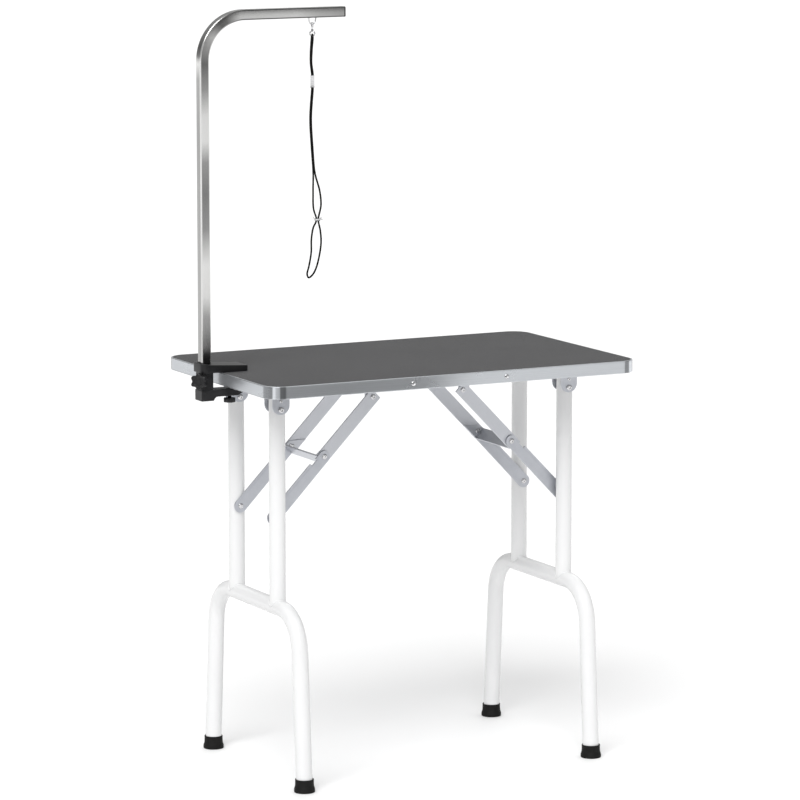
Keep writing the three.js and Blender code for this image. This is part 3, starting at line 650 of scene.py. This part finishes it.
def strand_sleeve(name, half_length, half_width, wall, height, lip):
    """A drawn sleeve round two strands, with rolled ends; its rings pair an offset with a height."""
    half, count = height / 2, 36
    rings = [
        (0.0, -half), (wall * 0.6, -half), (wall + lip, 0.5 - half), (wall + lip * 0.3, 1.6 - half),
        (wall, 2.6 - half), (wall, 0.0), (wall, half - 2.6), (wall + lip * 0.3, half - 1.6),
        (wall + lip, half - 0.5), (wall * 0.6, half), (0.0, half),
    ]
    points = []
    for offset, z in rings:
        for x, y in slot_outline(half_length, half_width + offset, count):
            points.append((x * MM, y * MM, z * MM))
    return outward(mesh_of(name, points, skin(len(rings), count, closed=True)))


def slot_outline(half_length, radius, count):
    """Points round a slot shape whose two centres are half_length from the middle."""
    half = count // 2
    right = arc(half_length, 0, radius, -90, 90, half - 1)
    left = arc(-half_length, 0, radius, 90, 270, half - 1)
    return right + left


def add_crimp():
    middle_z, turn = 1359, math.radians(29.4)
    mesh = strand_sleeve("crimp", 1.97, 2.3, wall=0.6, height=24, lip=0.25)
    mesh.transform(Matrix.Translation(place(EYE_X, 0, middle_z)) @ Matrix.Rotation(turn, 4, "Z"))
    return piece("crimp", mesh, "chrome", "noose", ["noose_crimp"])


def add_slider():
    """Sprung wire-and-sheet clip that pinches the two strands."""
    middle = place(EYE_X + 9.9, 0, 1087.8)
    sleeve = strand_sleeve("slider", 2.0, 2.8, wall=0.9, height=5, lip=0.2)
    sleeve.transform(Matrix.Translation(middle))
    parts = [sleeve]
    for hand, degrees in [(-1, 52), (1, 0), (1, 46)]:
        start = Vector((hand * 5.2 * MM, 0, 0))
        lift = math.radians(degrees)
        rise = Vector((hand * math.cos(lift), 0, math.sin(lift)))
        path = [middle + start + rise * (t * MM) for t in (0.0, 2.0, 4.0, 5.6)]
        path[-1] += Vector((0, 0, 0.5 * MM))
        parts.append(sweep("wing", path, rounded_rectangle(4.6, 0.9, 0.4, 3), side=Vector((0, 1, 0))))
    return piece("slider", joined("slider", *parts), "chrome", "noose", ["noose_slider"])


def ring(name, centre, radius, wire, normal):
    """A closed wire ring that stands upright about its centre; radius and wire are in millimetres."""
    axis = Vector(normal).normalized()
    up = Vector((0, 0, 1))
    flat = up.cross(axis).normalized()
    path = []
    for across, rise in circle(1, 40):
        path.append(centre + (flat * across + up * rise) * radius * MM)
    return sweep(name, path, circle(wire, 12), side=axis, loop=True)


def add_hook():
    """Swivel snap: small ring on the eye, barrel with a waist, and the ring for the cord."""
    wire, bite = 1.3, 0.7
    upper_radius, lower_radius = 3.8, 5
    upper_z, lower_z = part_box("snap_hook")[1].z / MM - upper_radius - wire, 1452
    turn = math.radians(37.3)
    upper = ring("upper", place(EYE_X, 0, upper_z), upper_radius, wire, (1, 0, 0))
    facing = (math.sin(turn), math.cos(turn), 0)
    lower = ring("lower", place(EYE_X, 0, lower_z), lower_radius, wire, facing)
    bottom = lower_z + lower_radius - bite
    height = upper_z - upper_radius + bite - bottom
    barrel = lathe("barrel", [
        (0.6, 0), (1.9, 0), (2.4, 0.4), (2.4, height * 0.35), (2.1, height * 0.42),
        (2.1, height * 0.55), (2.4, height * 0.62), (2.3, height - 0.4), (1.8, height), (0.6, height)])
    hook = joined("hook", moved(barrel, EYE_X, 0, bottom), upper, lower)
    return piece("hook", hook, "chrome", "snap_hook", ["snap_hook"])


# ---------------- tabletop
# The section of the edge trim: distance in from the outer face, and height above the floor.
TRIM_PROFILE = [
    (0.0, 779.6), (0.0, 801.3), (0.2, 802.0), (0.7, 802.5), (1.4, 802.6), (3.2, 802.6),
    (3.6, 802.2), (3.6, 801.0), (1.6, 801.0), (1.6, 779.6), (10.0, 779.6), (10.0, 778.0),
    (1.6, 778.0), (0.8, 778.1), (0.25, 778.6),
]


def add_trim():
    x, y = HALF_LENGTH - CORNER_RADIUS, HALF_WIDTH - CORNER_RADIUS
    points = []
    for cx, cy, start in [(x, y, 0), (-x, y, 90), (-x, -y, 180), (x, -y, 270)]:
        for nx, ny in arc(0, 0, 1, start, start + 90, 24):
            for inset, z in TRIM_PROFILE:
                reach = CORNER_RADIUS - inset
                points.append(place(cx + reach * nx, cy + reach * ny, z))
    around = len(TRIM_PROFILE)
    faces = skin(len(points) // around, around, closed=True)
    band = outward(mesh_of("trim_band", points, faces))
    piece("trim_band", band, "trim", "tabletop", ["edge_trim"], sharp=14)


def add_mat():
    inset = 3.9
    outline = rounded_rectangle(
        2 * (HALF_LENGTH - inset), 2 * (HALF_WIDTH - inset), CORNER_RADIUS - inset, 24)
    low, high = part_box("top_mat")
    sheet = eased(prism("mat_sheet", plan(outline), low.z, high.z), 0.5)
    piece("mat_sheet", sheet, "mat", "tabletop", ["top_mat"], sharp=12)


def cross_head(radius, height, recess):
    """A pan head along +Z, with a cross recess pressed into its dome."""
    rings, sides = 9, 48
    half_slot, reach_of_slot = radius * 0.12, radius * 0.55
    points = []
    for step in range(rings):
        share = step / (rings - 1)
        reach = radius * math.sin(share * math.pi / 2)
        rise = height * math.cos(share * math.pi / 2) ** 0.8
        for i in range(sides):
            angle = 2 * math.pi * i / sides
            x, y = reach * math.cos(angle), reach * math.sin(angle)
            inside = min(abs(x), abs(y)) < half_slot and max(abs(x), abs(y)) < reach_of_slot
            points.append((x * MM, y * MM, (rise - (recess if inside else 0)) * MM))
    faces = skin(rings, sides) + end_caps(rings, sides)[1:]
    return outward(mesh_of("head", points, faces), merge=1e-6)


def add_edge_screws():
    below_top = 13
    for side, hand in SIDES.items():
        for number, x in enumerate([-99.1, 105.9], 1):
            seat = place(x, hand * HALF_WIDTH, TOP_Z - below_top)
            head = turned_to(cross_head(5, 2.2, 0.9), (0, hand, 0), seat)
            node = f"edge_screw_{side}_{number}"
            piece(f"trim_screw_{side}_{number}", head, "chrome", "tabletop", [node])


# ---------------- legs
def rivet_head(radius, height, dimple=0.0):
    """A pressed rivet head along +Z from its seat; a dimple hollows it like a tubular rivet."""
    seat, floor = -0.2, height - dimple
    profile = [
        (radius * 0.35, seat), (radius, seat), (radius, height * 0.3), (radius * 0.93, height * 0.65),
        (radius * 0.75, height * 0.92), (radius * 0.5, height)]
    if dimple:
        profile += [(radius * 0.42, height * 0.97), (radius * 0.36, floor), (radius * 0.05, floor)]
    else:
        profile += [(radius * 0.25, height * 1.02), (radius * 0.05, height * 1.03)]
    return lathe("rivet", profile, 32)


def head_at(x, y, z, facing, radius, height, dimple=0.0):
    """A rivet head on a place, facing the front (-1) or the rear (1)."""
    return turned_to(rivet_head(radius, height, dimple), (0, facing, 0), place(x, y, z))


def pin_at(x, low_y, high_y, z, radius):
    """A straight pin across the table."""
    mesh = lathe("pin", [(radius, 0), (radius, high_y - low_y)], 24)
    return turned_to(mesh, (0, 1, 0), place(x, low_y, z))


def add_leg_bracket(end, side):
    """A U-shaped bracket: two cheeks on a base plate, with its stop rivets and pivot bolt."""
    x, y = ENDS[end] * LEG_X, SIDES[side] * TUBE_Y
    half, drop, sheet, outer = 18.35, 77, 2.5, 19.1
    round_z = TOP_Z - drop + half
    cheek = [(half, UNDER_BOARD), (-half, UNDER_BOARD), *arc(0, round_z, half, 180, 360, 24)]
    parts, rivets = [], []
    for face in (-1, 1):
        low = y + (outer - sheet if face > 0 else -outer)
        parts.append(plate("cheek", [(x + u, v) for u, v in cheek], low, low + sheet, 0.6))
        rivets.append(head_at(x, y + face * outer, PIVOT_Z + 17, face, 3.6, 1.5, 1.4))
    base_z = UNDER_BOARD - sheet
    base = plan(rounded_rectangle(60, 56, 5), x, y)
    parts.append(eased(prism("base", base, base_z * MM, UNDER_BOARD * MM), 0.5))
    for u in (-25, 25):
        for v in (-20, 20):
            head = cross_head(3.6, 1.8, 0.7)
            parts.append(turned_to(head, (0, 0, -1), place(x + u, y + v, base_z)))
    piece(f"bracket_{end}_{side}", joined("bracket", *parts), "plated_steel", "tabletop",
          [f"leg_bracket_{end}_{side}"], sharp=12)
    piece(f"stop_rivets_{end}_{side}", joined("rivets", *rivets), "chrome", "tabletop")
    seat = outer + 0.2
    heads = [head_at(x, y + face * seat, PIVOT_Z, face, 6.0, 3.0, 1.6) for face in (-1, 1)]
    bolt = joined("bolt", pin_at(x, y - seat, y + seat, PIVOT_Z, 3.9), *heads)
    piece(f"pivot_{end}_{side}", bolt, "chrome", "tabletop", [f"leg_pivot_bolt_{end}_{side}"])


def u_leg_path(x):
    """The line of the inverted-U tube: up one splayed leg, over the crossbar and down."""
    tilt = math.atan(SPLAY)
    bend, end_z = 78, 5
    corner_y = FOOT_Y - SPLAY * CROSSBAR_Z
    reach = bend * math.tan((math.pi / 2 - tilt) / 2)
    curve = arc(corner_y - reach, CROSSBAR_Z - bend, bend, math.degrees(tilt), 90, 22)
    rear = [(FOOT_Y - SPLAY * end_z, end_z), *curve]
    return [place(x, y, z) for y, z in rear + [(-y, z) for y, z in reversed(rear)]]


def weld_bead(x, y):
    """The bead where an upright stands on the round crossbar."""
    reach = TUBE_RADIUS + 0.5
    line = []
    for across, along_y in circle(1, 64):
        rise = math.sqrt((TUBE_RADIUS + 0.3) ** 2 - (TUBE_RADIUS * across) ** 2)
        line.append(place(x + reach * across, y + reach * along_y, CROSSBAR_Z + rise))
    return sweep("weld", line, circle(1.3, 10), loop=True)


def add_leg_frame(end):
    x = ENDS[end] * LEG_X
    body = f"{end}_leg"
    section, plane = circle(TUBE_RADIUS, 40), Vector((1, 0, 0))
    mesh = sweep("u_tube", u_leg_path(x), section, side=plane)
    piece(f"{end}_u_tube", mesh, "white_paint", body, [f"{end}_u_leg"], sharp=50)
    for side, hand in SIDES.items():
        y = hand * TUBE_Y
        stations = (CROSSBAR_Z + 0.4, PIVOT_Z + 29.4, PIVOT_Z + 30)
        tube = sweep("upright", [place(x, y, z) for z in stations], section, side=plane)
        piece(f"upright_{end}_{side}", joined("upright", tube, weld_bead(x, y)), "white_paint", body,
              [f"upper_tube_{end}_{side}"], sharp=50)
        add_foot(end, side, body)


def add_foot(end, side, body):
    """Rubber boot: flared sole, a shallow step and a rolled rim round the tube."""
    profile = [
        (2.0, 1.2), (13.0, 1.2), (14.5, 0.0), (19.2, 0.0), (20.2, 0.6), (20.5, 1.8), (20.5, 6.2),
        (20.1, 7.6), (19.0, 11.2), (18.6, 12.8), (18.4, 16.0), (18.3, 20.0), (18.3, 23.6),
        (18.4, 24.8), (18.1, 25.7), (17.5, 26.0), (16.9, 25.8), (16.6, 25.0), (2.0, 25.0),
    ]
    half_height = 13
    middle_y = SIDES[side] * (FOOT_Y - SPLAY * half_height)
    boot = moved(lathe("boot", profile, 48), ENDS[end] * LEG_X, middle_y, 0)
    piece(f"boot_{end}_{side}", boot, "black_rubber", body, [f"foot_{end}_{side}"])


# ---------------- braces
# The left brace in X and Z: its three pivots, and the angle of its slope.
UPPER = Vector((-100, 741))
LOWER = Vector((-LEG_X, 518))
MID = UPPER.lerp(LOWER, 0.495)
DOWN = math.atan2(LOWER.y - UPPER.y, LOWER.x - UPPER.x)
ARM_LENGTH = (MID - UPPER).length
LINK_LENGTH = (MID - LOWER).length
# Half the width of the strips, their thickness, and the inner faces of links, arms and tabs.
STRIP = 13.5
STRIP_THICK = 3
LINK_Y, ARM_Y, TAB_Y = 73.6, 70.1, 66.6
# A brace rivet: the radius, height and hollow of its head, and the radius of its shank.
RIVET_HEAD = (5.5, 2.2, 1.4)
SHANK = 2.9


def along(outline, origin, angle, end):
    """Turns an outline drawn along +X to run from a pivot of the brace at an end."""
    turn = Matrix.Rotation(angle, 2)
    moved = [Vector(origin) + turn @ Vector(p) for p in outline]
    return [(-ENDS[end] * p.x, p.y) for p in moved]


def both_sides(low, high):
    """A span of Y on the rear side, and its mirror image on the front side."""
    return [(low, high), (-high, -low)]


def add_upper_brace(end):
    """Two strips with a strap across their tips, whose flanges turn back along their inner faces."""
    tip, tail = ARM_LENGTH + 10, -9.5
    inner_tip, edge = tip - STRIP_THICK, STRIP - 0.5
    long_edge, short_edge = tip - 40, tip - 13
    strip = [(tip, -STRIP), (tip, STRIP), (tail, STRIP), (tail, -STRIP)]
    strap = [(tip, -STRIP), (tip, STRIP), (inner_tip, STRIP), (inner_tip, -STRIP)]
    flange = [(inner_tip, -edge), (inner_tip, edge), (long_edge, edge), (short_edge, -edge)]
    flange_y = ARM_Y - 2.4
    parts = [plate("strap", along(strap, UPPER, DOWN, end), -ARM_Y - 0.5, ARM_Y + 0.5, 0.4)]
    rivets = []
    mid_x, mid_z = -ENDS[end] * MID.x, MID.y
    small_x, small_z = along([(tip - 9, -5)], UPPER, DOWN, end)[0]
    for low, high in both_sides(ARM_Y, ARM_Y + STRIP_THICK):
        parts.append(plate("strip", along(strip, UPPER, DOWN, end), low, high, 0.5))
    for low, high in both_sides(flange_y, ARM_Y + 0.1):
        parts.append(plate("flange", along(flange, UPPER, DOWN, end), low, high, 0.4))
        hand = 1 if low > 0 else -1
        rivets.append(head_at(mid_x, hand * flange_y, mid_z, -hand, 4.6, 2.0, 1.2))
        rivets.append(head_at(small_x, hand * flange_y, small_z, -hand, 2.8, 1.2))
    piece(f"{end}_brace_arms", joined("brace", *parts), "plated_steel", f"{end}_upper_brace",
          [f"{end}_upper_brace"], sharp=12)
    piece(f"{end}_flange_rivets", joined("rivets", *rivets), "chrome", f"{end}_upper_brace")


def add_lower_link(end, side):
    """A strip with round ends and a notch near its upper end, with its rivets."""
    neck, floor = 12, STRIP - 5.5
    notch_from, notch_to = LINK_LENGTH - 30, LINK_LENGTH - 16
    outline = [
        *arc(0, 0, STRIP, 90, 270, 20), *arc(LINK_LENGTH, 0, neck, -90, 90, 20), (notch_to, neck),
        (notch_to, floor), (notch_from, floor), (notch_from, STRIP)]
    hand = SIDES[side]
    low, high = sorted((hand * LINK_Y, hand * (LINK_Y + STRIP_THICK)))
    mesh = plate("link", along(outline, LOWER, DOWN - math.pi, end), low, high, 0.5)
    links = f"{end}_lower_links"
    piece(f"link_{end}_{side}", mesh, "plated_steel", links, [f"lower_link_{end}_{side}"], sharp=12)
    mid_x, low_x = -ENDS[end] * MID.x, -ENDS[end] * LOWER.x
    cap = head_at(mid_x, hand * (LINK_Y + STRIP_THICK), MID.y, hand, *RIVET_HEAD)
    piece(f"mid_rivet_{end}_{side}", cap, "chrome", links, [f"brace_mid_rivet_{end}_{side}"])
    inner = head_at(low_x, hand * LINK_Y, LOWER.y, -hand, *RIVET_HEAD)
    tube_face = 79.5
    shank = pin_at(low_x, *sorted((hand * LINK_Y, hand * tube_face)), LOWER.y, SHANK)
    holder = node_body(f"brace_lower_rivet_{end}_{side}")
    piece(f"low_rivet_{end}_{side}", joined("rivet", inner, shank), "chrome", holder,
          [f"brace_lower_rivet_{end}_{side}"])


def node_body(name):
    """The CAD body that a node belongs to."""
    return frame["nodes"][name]["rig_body"]


def add_brace_bracket(end, side):
    """A tab under the top with a flange for its two screws, and the brace's upper rivet."""
    hand, x = SIDES[side], -ENDS[end] * UPPER.x
    inward = -ENDS[end]
    front, back, foot = 8, -16, UPPER.y - 10
    tab = [(front, UNDER_BOARD), (back, UNDER_BOARD), (back, UPPER.y), (-front, foot), (front, foot)]
    outline = [(x + inward * u, z) for u, z in tab]
    low, high = sorted((hand * TAB_Y, hand * (TAB_Y + STRIP_THICK)))
    parts = [plate("tab", outline, low, high, 0.6)]
    near, far = sorted((hand * (TAB_Y + STRIP_THICK), hand * (TAB_Y - 23)))
    left, right = sorted((x + inward * front, x + inward * back))
    corners = plan([(left, near), (right, near), (right, far), (left, far)])
    flange_z = UNDER_BOARD - STRIP_THICK
    parts.append(eased(prism("flange", corners, flange_z * MM, UNDER_BOARD * MM), 0.5))
    for v in (TAB_Y - 6, TAB_Y - 17):
        seat = place((left + right) / 2, hand * v, flange_z)
        parts.append(turned_to(cross_head(3.4, 1.7, 0.7), (0, 0, -1), seat))
    piece(f"brace_tab_{end}_{side}", joined("tab", *parts), "plated_steel", "tabletop",
          [f"brace_bracket_{end}_{side}"], sharp=12)
    inner_y, outer_y = hand * (TAB_Y - 0.2), hand * (ARM_Y + STRIP_THICK + 0.2)
    outer = head_at(x, outer_y, UPPER.y, hand, *RIVET_HEAD)
    inner = head_at(x, inner_y, UPPER.y, -hand, 5.5, 2.0)
    shank = pin_at(x, *sorted((inner_y, outer_y)), UPPER.y, SHANK)
    name = f"brace_upper_rivet_{end}_{side}"
    rivet = joined("rivet", outer, inner, shank)
    piece(f"top_rivet_{end}_{side}", rivet, "chrome", node_body(name), [name])


# ---------------- clamp, post and arm
JAW_LOW, JAW_HIGH = TOP_Z + 0.3, TOP_Z + 18.9
COLUMN_LOW, ARCH_LOW, ARCH_HIGH = 747.5, 755, 769
DIAGONAL = Vector((-1, -1, 0)).normalized()


def upper_jaw():
    """A block with round corners at the post, cut to a wedge that thins towards its tip."""
    left, right = POST_X - 16, POST_X + 82
    outline = [
        *arc(right - 4, 21, 4, 0, 90, 5), *arc(left + 12, 13, 12, 90, 180, 10),
        *arc(left + 12, -13, 12, 180, 270, 10), *arc(right - 4, -21, 4, 270, 360, 5)]
    wedge = [
        (left - 1, JAW_LOW), (right + 1, JAW_LOW), (right + 1, JAW_LOW + 11.2),
        (POST_X - 1, JAW_LOW + 16.4), (POST_X - 8, JAW_HIGH), (left - 1, JAW_HIGH)]
    block = prism("jaw", plan(outline), (JAW_LOW - 3) * MM, (JAW_HIGH + 3) * MM)
    return eased(combined(block, "INTERSECT", plate("wedge", wedge, -30, 30, 0)), 1.4, 3)


def lower_jaw():
    """A bar whose underside curves up from the foot of the column."""
    back, shoulder, tip = POST_X - 13.6, POST_X + 64, POST_X + 75
    start, stop = Vector((POST_X + 13, COLUMN_LOW)), Vector((POST_X + 22, ARCH_LOW))
    control = Vector((POST_X + 15, ARCH_LOW))
    outline = [(back, ARCH_HIGH), (back, COLUMN_LOW)]
    for i in range(11):
        t = i / 10
        outline.append(tuple(start.lerp(control, t).lerp(control.lerp(stop, t), t)))
    outline += [(shoulder, ARCH_LOW), (tip, ARCH_LOW + 5), (tip, ARCH_HIGH), (shoulder, ARCH_HIGH)]
    return plate("lower", outline, -16, 16, 2.0)


def square_block(side, radius, low, high):
    """A square block round the line of the post."""
    return prism("block", plan(rounded_rectangle(side, side, radius), POST_X), low * MM, high * MM)


def add_clamp():
    column_outline = plan(rounded_rectangle(26, 30, 4), POST_X)
    column = eased(prism("column", column_outline, COLUMN_LOW * MM, (JAW_LOW + 4) * MM), 1.0)
    knob_place = place(POST_X, 0, KNOB_Z)
    boss = turned_to(lathe("boss", [(8, 0), (8, 23), (7.2, 24.3), (1, 24.3)]), DIAGONAL, knob_place)
    whole = combined(upper_jaw(), "UNION", column, lower_jaw(), boss)

    below, above = 740, JAW_HIGH + 5
    bore = square_block(20.7, 2.7, below, above)
    rim = square_block(24.5, 3.5, JAW_HIGH - 3.4, above)
    stud_hole = turned_to(lathe("hole", [(4.3, 0), (4.3, 40)]), DIAGONAL, knob_place)
    screw_hole = moved(lathe("hole", [(4.4, 0), (4.4, 40)]), CLAMP_SCREW_X, 0, below)
    whole = combined(whole, "DIFFERENCE", bore, rim, stud_hole, screw_hole)
    piece("clamp", whole, "black_plastic", "clamp", ["clamp_body"], sharp=12)


def lobes(count, depth, radius, turn=0.0):
    """A factor on the radius, for lathe(), that dips by depth millimetres between its lobes."""
    return lambda angle: 1 - depth / radius * (0.5 - 0.5 * math.cos(count * (angle - turn)))


def add_post_knob():
    grip = lathe("grip", [
        (3, 26.4), (8.4, 26.2), (9.2, 25.7), (12.6, 25.5), (15.2, 25.8), (16.6, 26.8), (17.0, 28.4),
        (17.0, 34.2), (16.5, 36.0), (15.2, 37.0), (12.4, 37.4), (10.2, 37.5), (9.6, 36.9), (8.8, 36.4),
        (6.5, 36.3), (5.9, 36.9), (2.5, 37.1), (0.5, 37.1)], 96, lobes(6, 4.0, 17, math.pi / 4))
    tip = 12.8
    stud = lathe("stud", [(0.5, tip), (3.4, tip), (4, tip + 0.8), (4, 27)], 24)
    knob = turned_to(joined("knob", grip, stud), DIAGONAL, place(POST_X, 0, KNOB_Z))
    piece("knob", knob, "black_plastic", "post_knob", ["post_knob"])


def add_clamp_screw():
    """A scalloped thumb wheel with a ridged shank, and the pad on its tip."""
    wheel = lathe("wheel", [
        (1, 740.0), (5.0, 740.0), (5.6, 740.4), (10.6, 740.4), (11.6, 740.8), (12.0, 741.6), (12.0, 748.0),
        (11.6, 748.7), (10.6, 749.1), (6.0, 749.1), (5.4, 749.5), (1, 749.5)], 96, lobes(8, 1.4, 12))
    steps, low, top = 48, 749.0, UNDER_BOARD - 4.9
    ridges = [(4.0 if i % 2 else 3.5, low + (top - low) * i / steps) for i in range(steps)]
    thread = lathe("thread", [(0.5, low), *ridges, (3.4, top), (0.5, top)], 24)
    screw = moved(joined("screw", wheel, thread), CLAMP_SCREW_X, 0, 0)
    piece("thumb_screw", screw, "black_plastic", "clamp_screw", ["clamp_screw"])
    base = UNDER_BOARD - 4.6
    pad = lathe("pad", [
        (0.5, base), (5.8, base), (7.4, base + 0.7), (8, base + 1.8), (8, base + 3.9),
        (7.5, base + 4.5), (0.5, base + 4.6)])
    piece("screw_pad", moved(pad, CLAMP_SCREW_X, 0, 0), "black_rubber", "clamp_pad", ["clamp_pad"])


# The arm's centre line: the foot of its post, the middle of its bend, its end and its height.
TUBE_SIDE, TUBE_CORNER = 20, 2.4
POST_FOOT, ARM_BEND, ARM_REACH = 752, 87, 303
ARM_Z = 1503.5 - TUBE_SIDE / 2
CAP_THICK = 3


def add_arm():
    end_x = POST_X + ARM_REACH - CAP_THICK
    bend = arc(POST_X + ARM_BEND, ARM_Z - ARM_BEND, ARM_BEND, 180, 90, 30)
    path = [place(x, 0, z) for x, z in [(POST_X, POST_FOOT), *bend, (end_x, ARM_Z)]]
    section = rounded_rectangle(TUBE_SIDE, TUBE_SIDE, TUBE_CORNER, 6)
    tube = sweep("tube", path, section, side=Vector((0, 1, 0)))
    piece("square_tube", tube, "stainless", "arm", ["arm_tube"], sharp=50)
    cap_outline = [(x * MM, y * MM) for x, y in section]
    cap = eased(prism("cap", cap_outline, 0.2 * MM, CAP_THICK * MM), 0.9, 3)
    turned_to(cap, (1, 0, 0), place(end_x, 0, ARM_Z))
    piece("tube_cap", cap, "black_plastic", "arm", ["arm_end_cap"])


def add_eye():
    """A wire eye under the arm, with a collar round each of its ends."""
    wire_radius, bend, leg = 1.3, 7, 7.8
    bottom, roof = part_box("arm_eye")[0].z / MM + wire_radius, ARM_Z - 9.5
    curve = arc(EYE_X, bottom + bend, bend, 180, 360, 20)
    route = [
        (EYE_X - leg, roof), (EYE_X - leg + 0.2, roof - 4), *curve,
        (EYE_X + leg - 0.2, roof - 4), (EYE_X + leg, roof)]
    path = [place(x, 0, z) for x, z in route]
    wire = sweep("wire", path, circle(wire_radius, 14), side=Vector((0, 1, 0)))
    collars = []
    for hand in (-1, 1):
        collar = lathe("collar", [(1.4, 0), (2.6, 0), (2.9, 0.5), (2.6, 1.0), (1.4, 1.1)], 20)
        collars.append(moved(collar, EYE_X + hand * leg, 0, ARM_Z - 11.1))
    piece("eye", joined("eye", wire, *collars), "chrome", "arm", ["arm_eye"])


# ---------------- studio
def add_studio():
    scene = bpy.context.scene
    scene.view_settings.view_transform = "Standard"
    world = bpy.data.worlds.new("studio")
    scene.world = world
    world.use_nodes = True
    background = world.node_tree.nodes["Background"]
    background.inputs["Color"].default_value = (1, 1, 1, 1)
    background.inputs["Strength"].default_value = 0.36
    add_floor()
    add_low_card()
    add_sun("key", (-0.62, -0.74, 0.95), 2.25, 40)
    add_sun("top", (0.1, 0.1, 1.0), 1.0, 100)
    add_sun("rim", (0.6, 0.8, 0.7), 0.25, 35)


def add_floor():
    reach = 90
    corners = [(-reach, -reach, 0), (reach, -reach, 0), (reach, reach, 0), (-reach, reach, 0)]
    look = Look("floor_paper", (0.9, 0.9, 0.9), 0.7)
    look.color(look.ramp(look.noise(0.7, 2), (0.3, 0.93), (0.7, 0.94)))
    add_card("floor", corners, look.material)


def add_low_card():
    """A dark card in front of the top, in metres, that only reflections see."""
    left, right, low, high, y = -0.75, 0.165, 0.68, 0.79, -0.55
    corners = [(left, y, low), (right, y, low), (right, y, high), (left, y, high)]
    card = add_card("low_card", corners, Look("low_card", (0.07, 0.07, 0.07), 1.0).material)
    card.visible_camera = card.visible_diffuse = card.visible_shadow = False


def add_card(name, corners, material):
    """A flat piece of the studio."""
    mesh = mesh_of(name, corners, [(0, 1, 2, 3)])
    mesh.materials.append(material)
    card = bpy.data.objects.new(name, mesh)
    bpy.context.scene.collection.objects.link(card)
    return card


def add_sun(name, towards, power, angle):
    """A soft, even light from a direction, so that the floor is as pale far off as near."""
    data = bpy.data.lights.new(name, "SUN")
    data.angle = math.radians(angle)
    data.energy = power
    light = bpy.data.objects.new(name, data)
    bpy.context.scene.collection.objects.link(light)
    light.rotation_euler = Vector(towards).to_track_quat("Z", "Y").to_euler()


# ---------------- assembly
add_camera()
add_noose()
add_trim()
add_mat()
add_edge_screws()
for end_name, side_name in CORNERS:
    add_leg_bracket(end_name, side_name)
    add_lower_link(end_name, side_name)
    add_brace_bracket(end_name, side_name)
for end_name in ENDS:
    add_leg_frame(end_name)
    add_upper_brace(end_name)
add_clamp()
add_post_knob()
add_clamp_screw()
add_arm()
add_eye()

board = frame["nodes"]["top_board"]
board.data.materials.clear()
board.data.materials.append(LOOKS["board"])
add_studio()
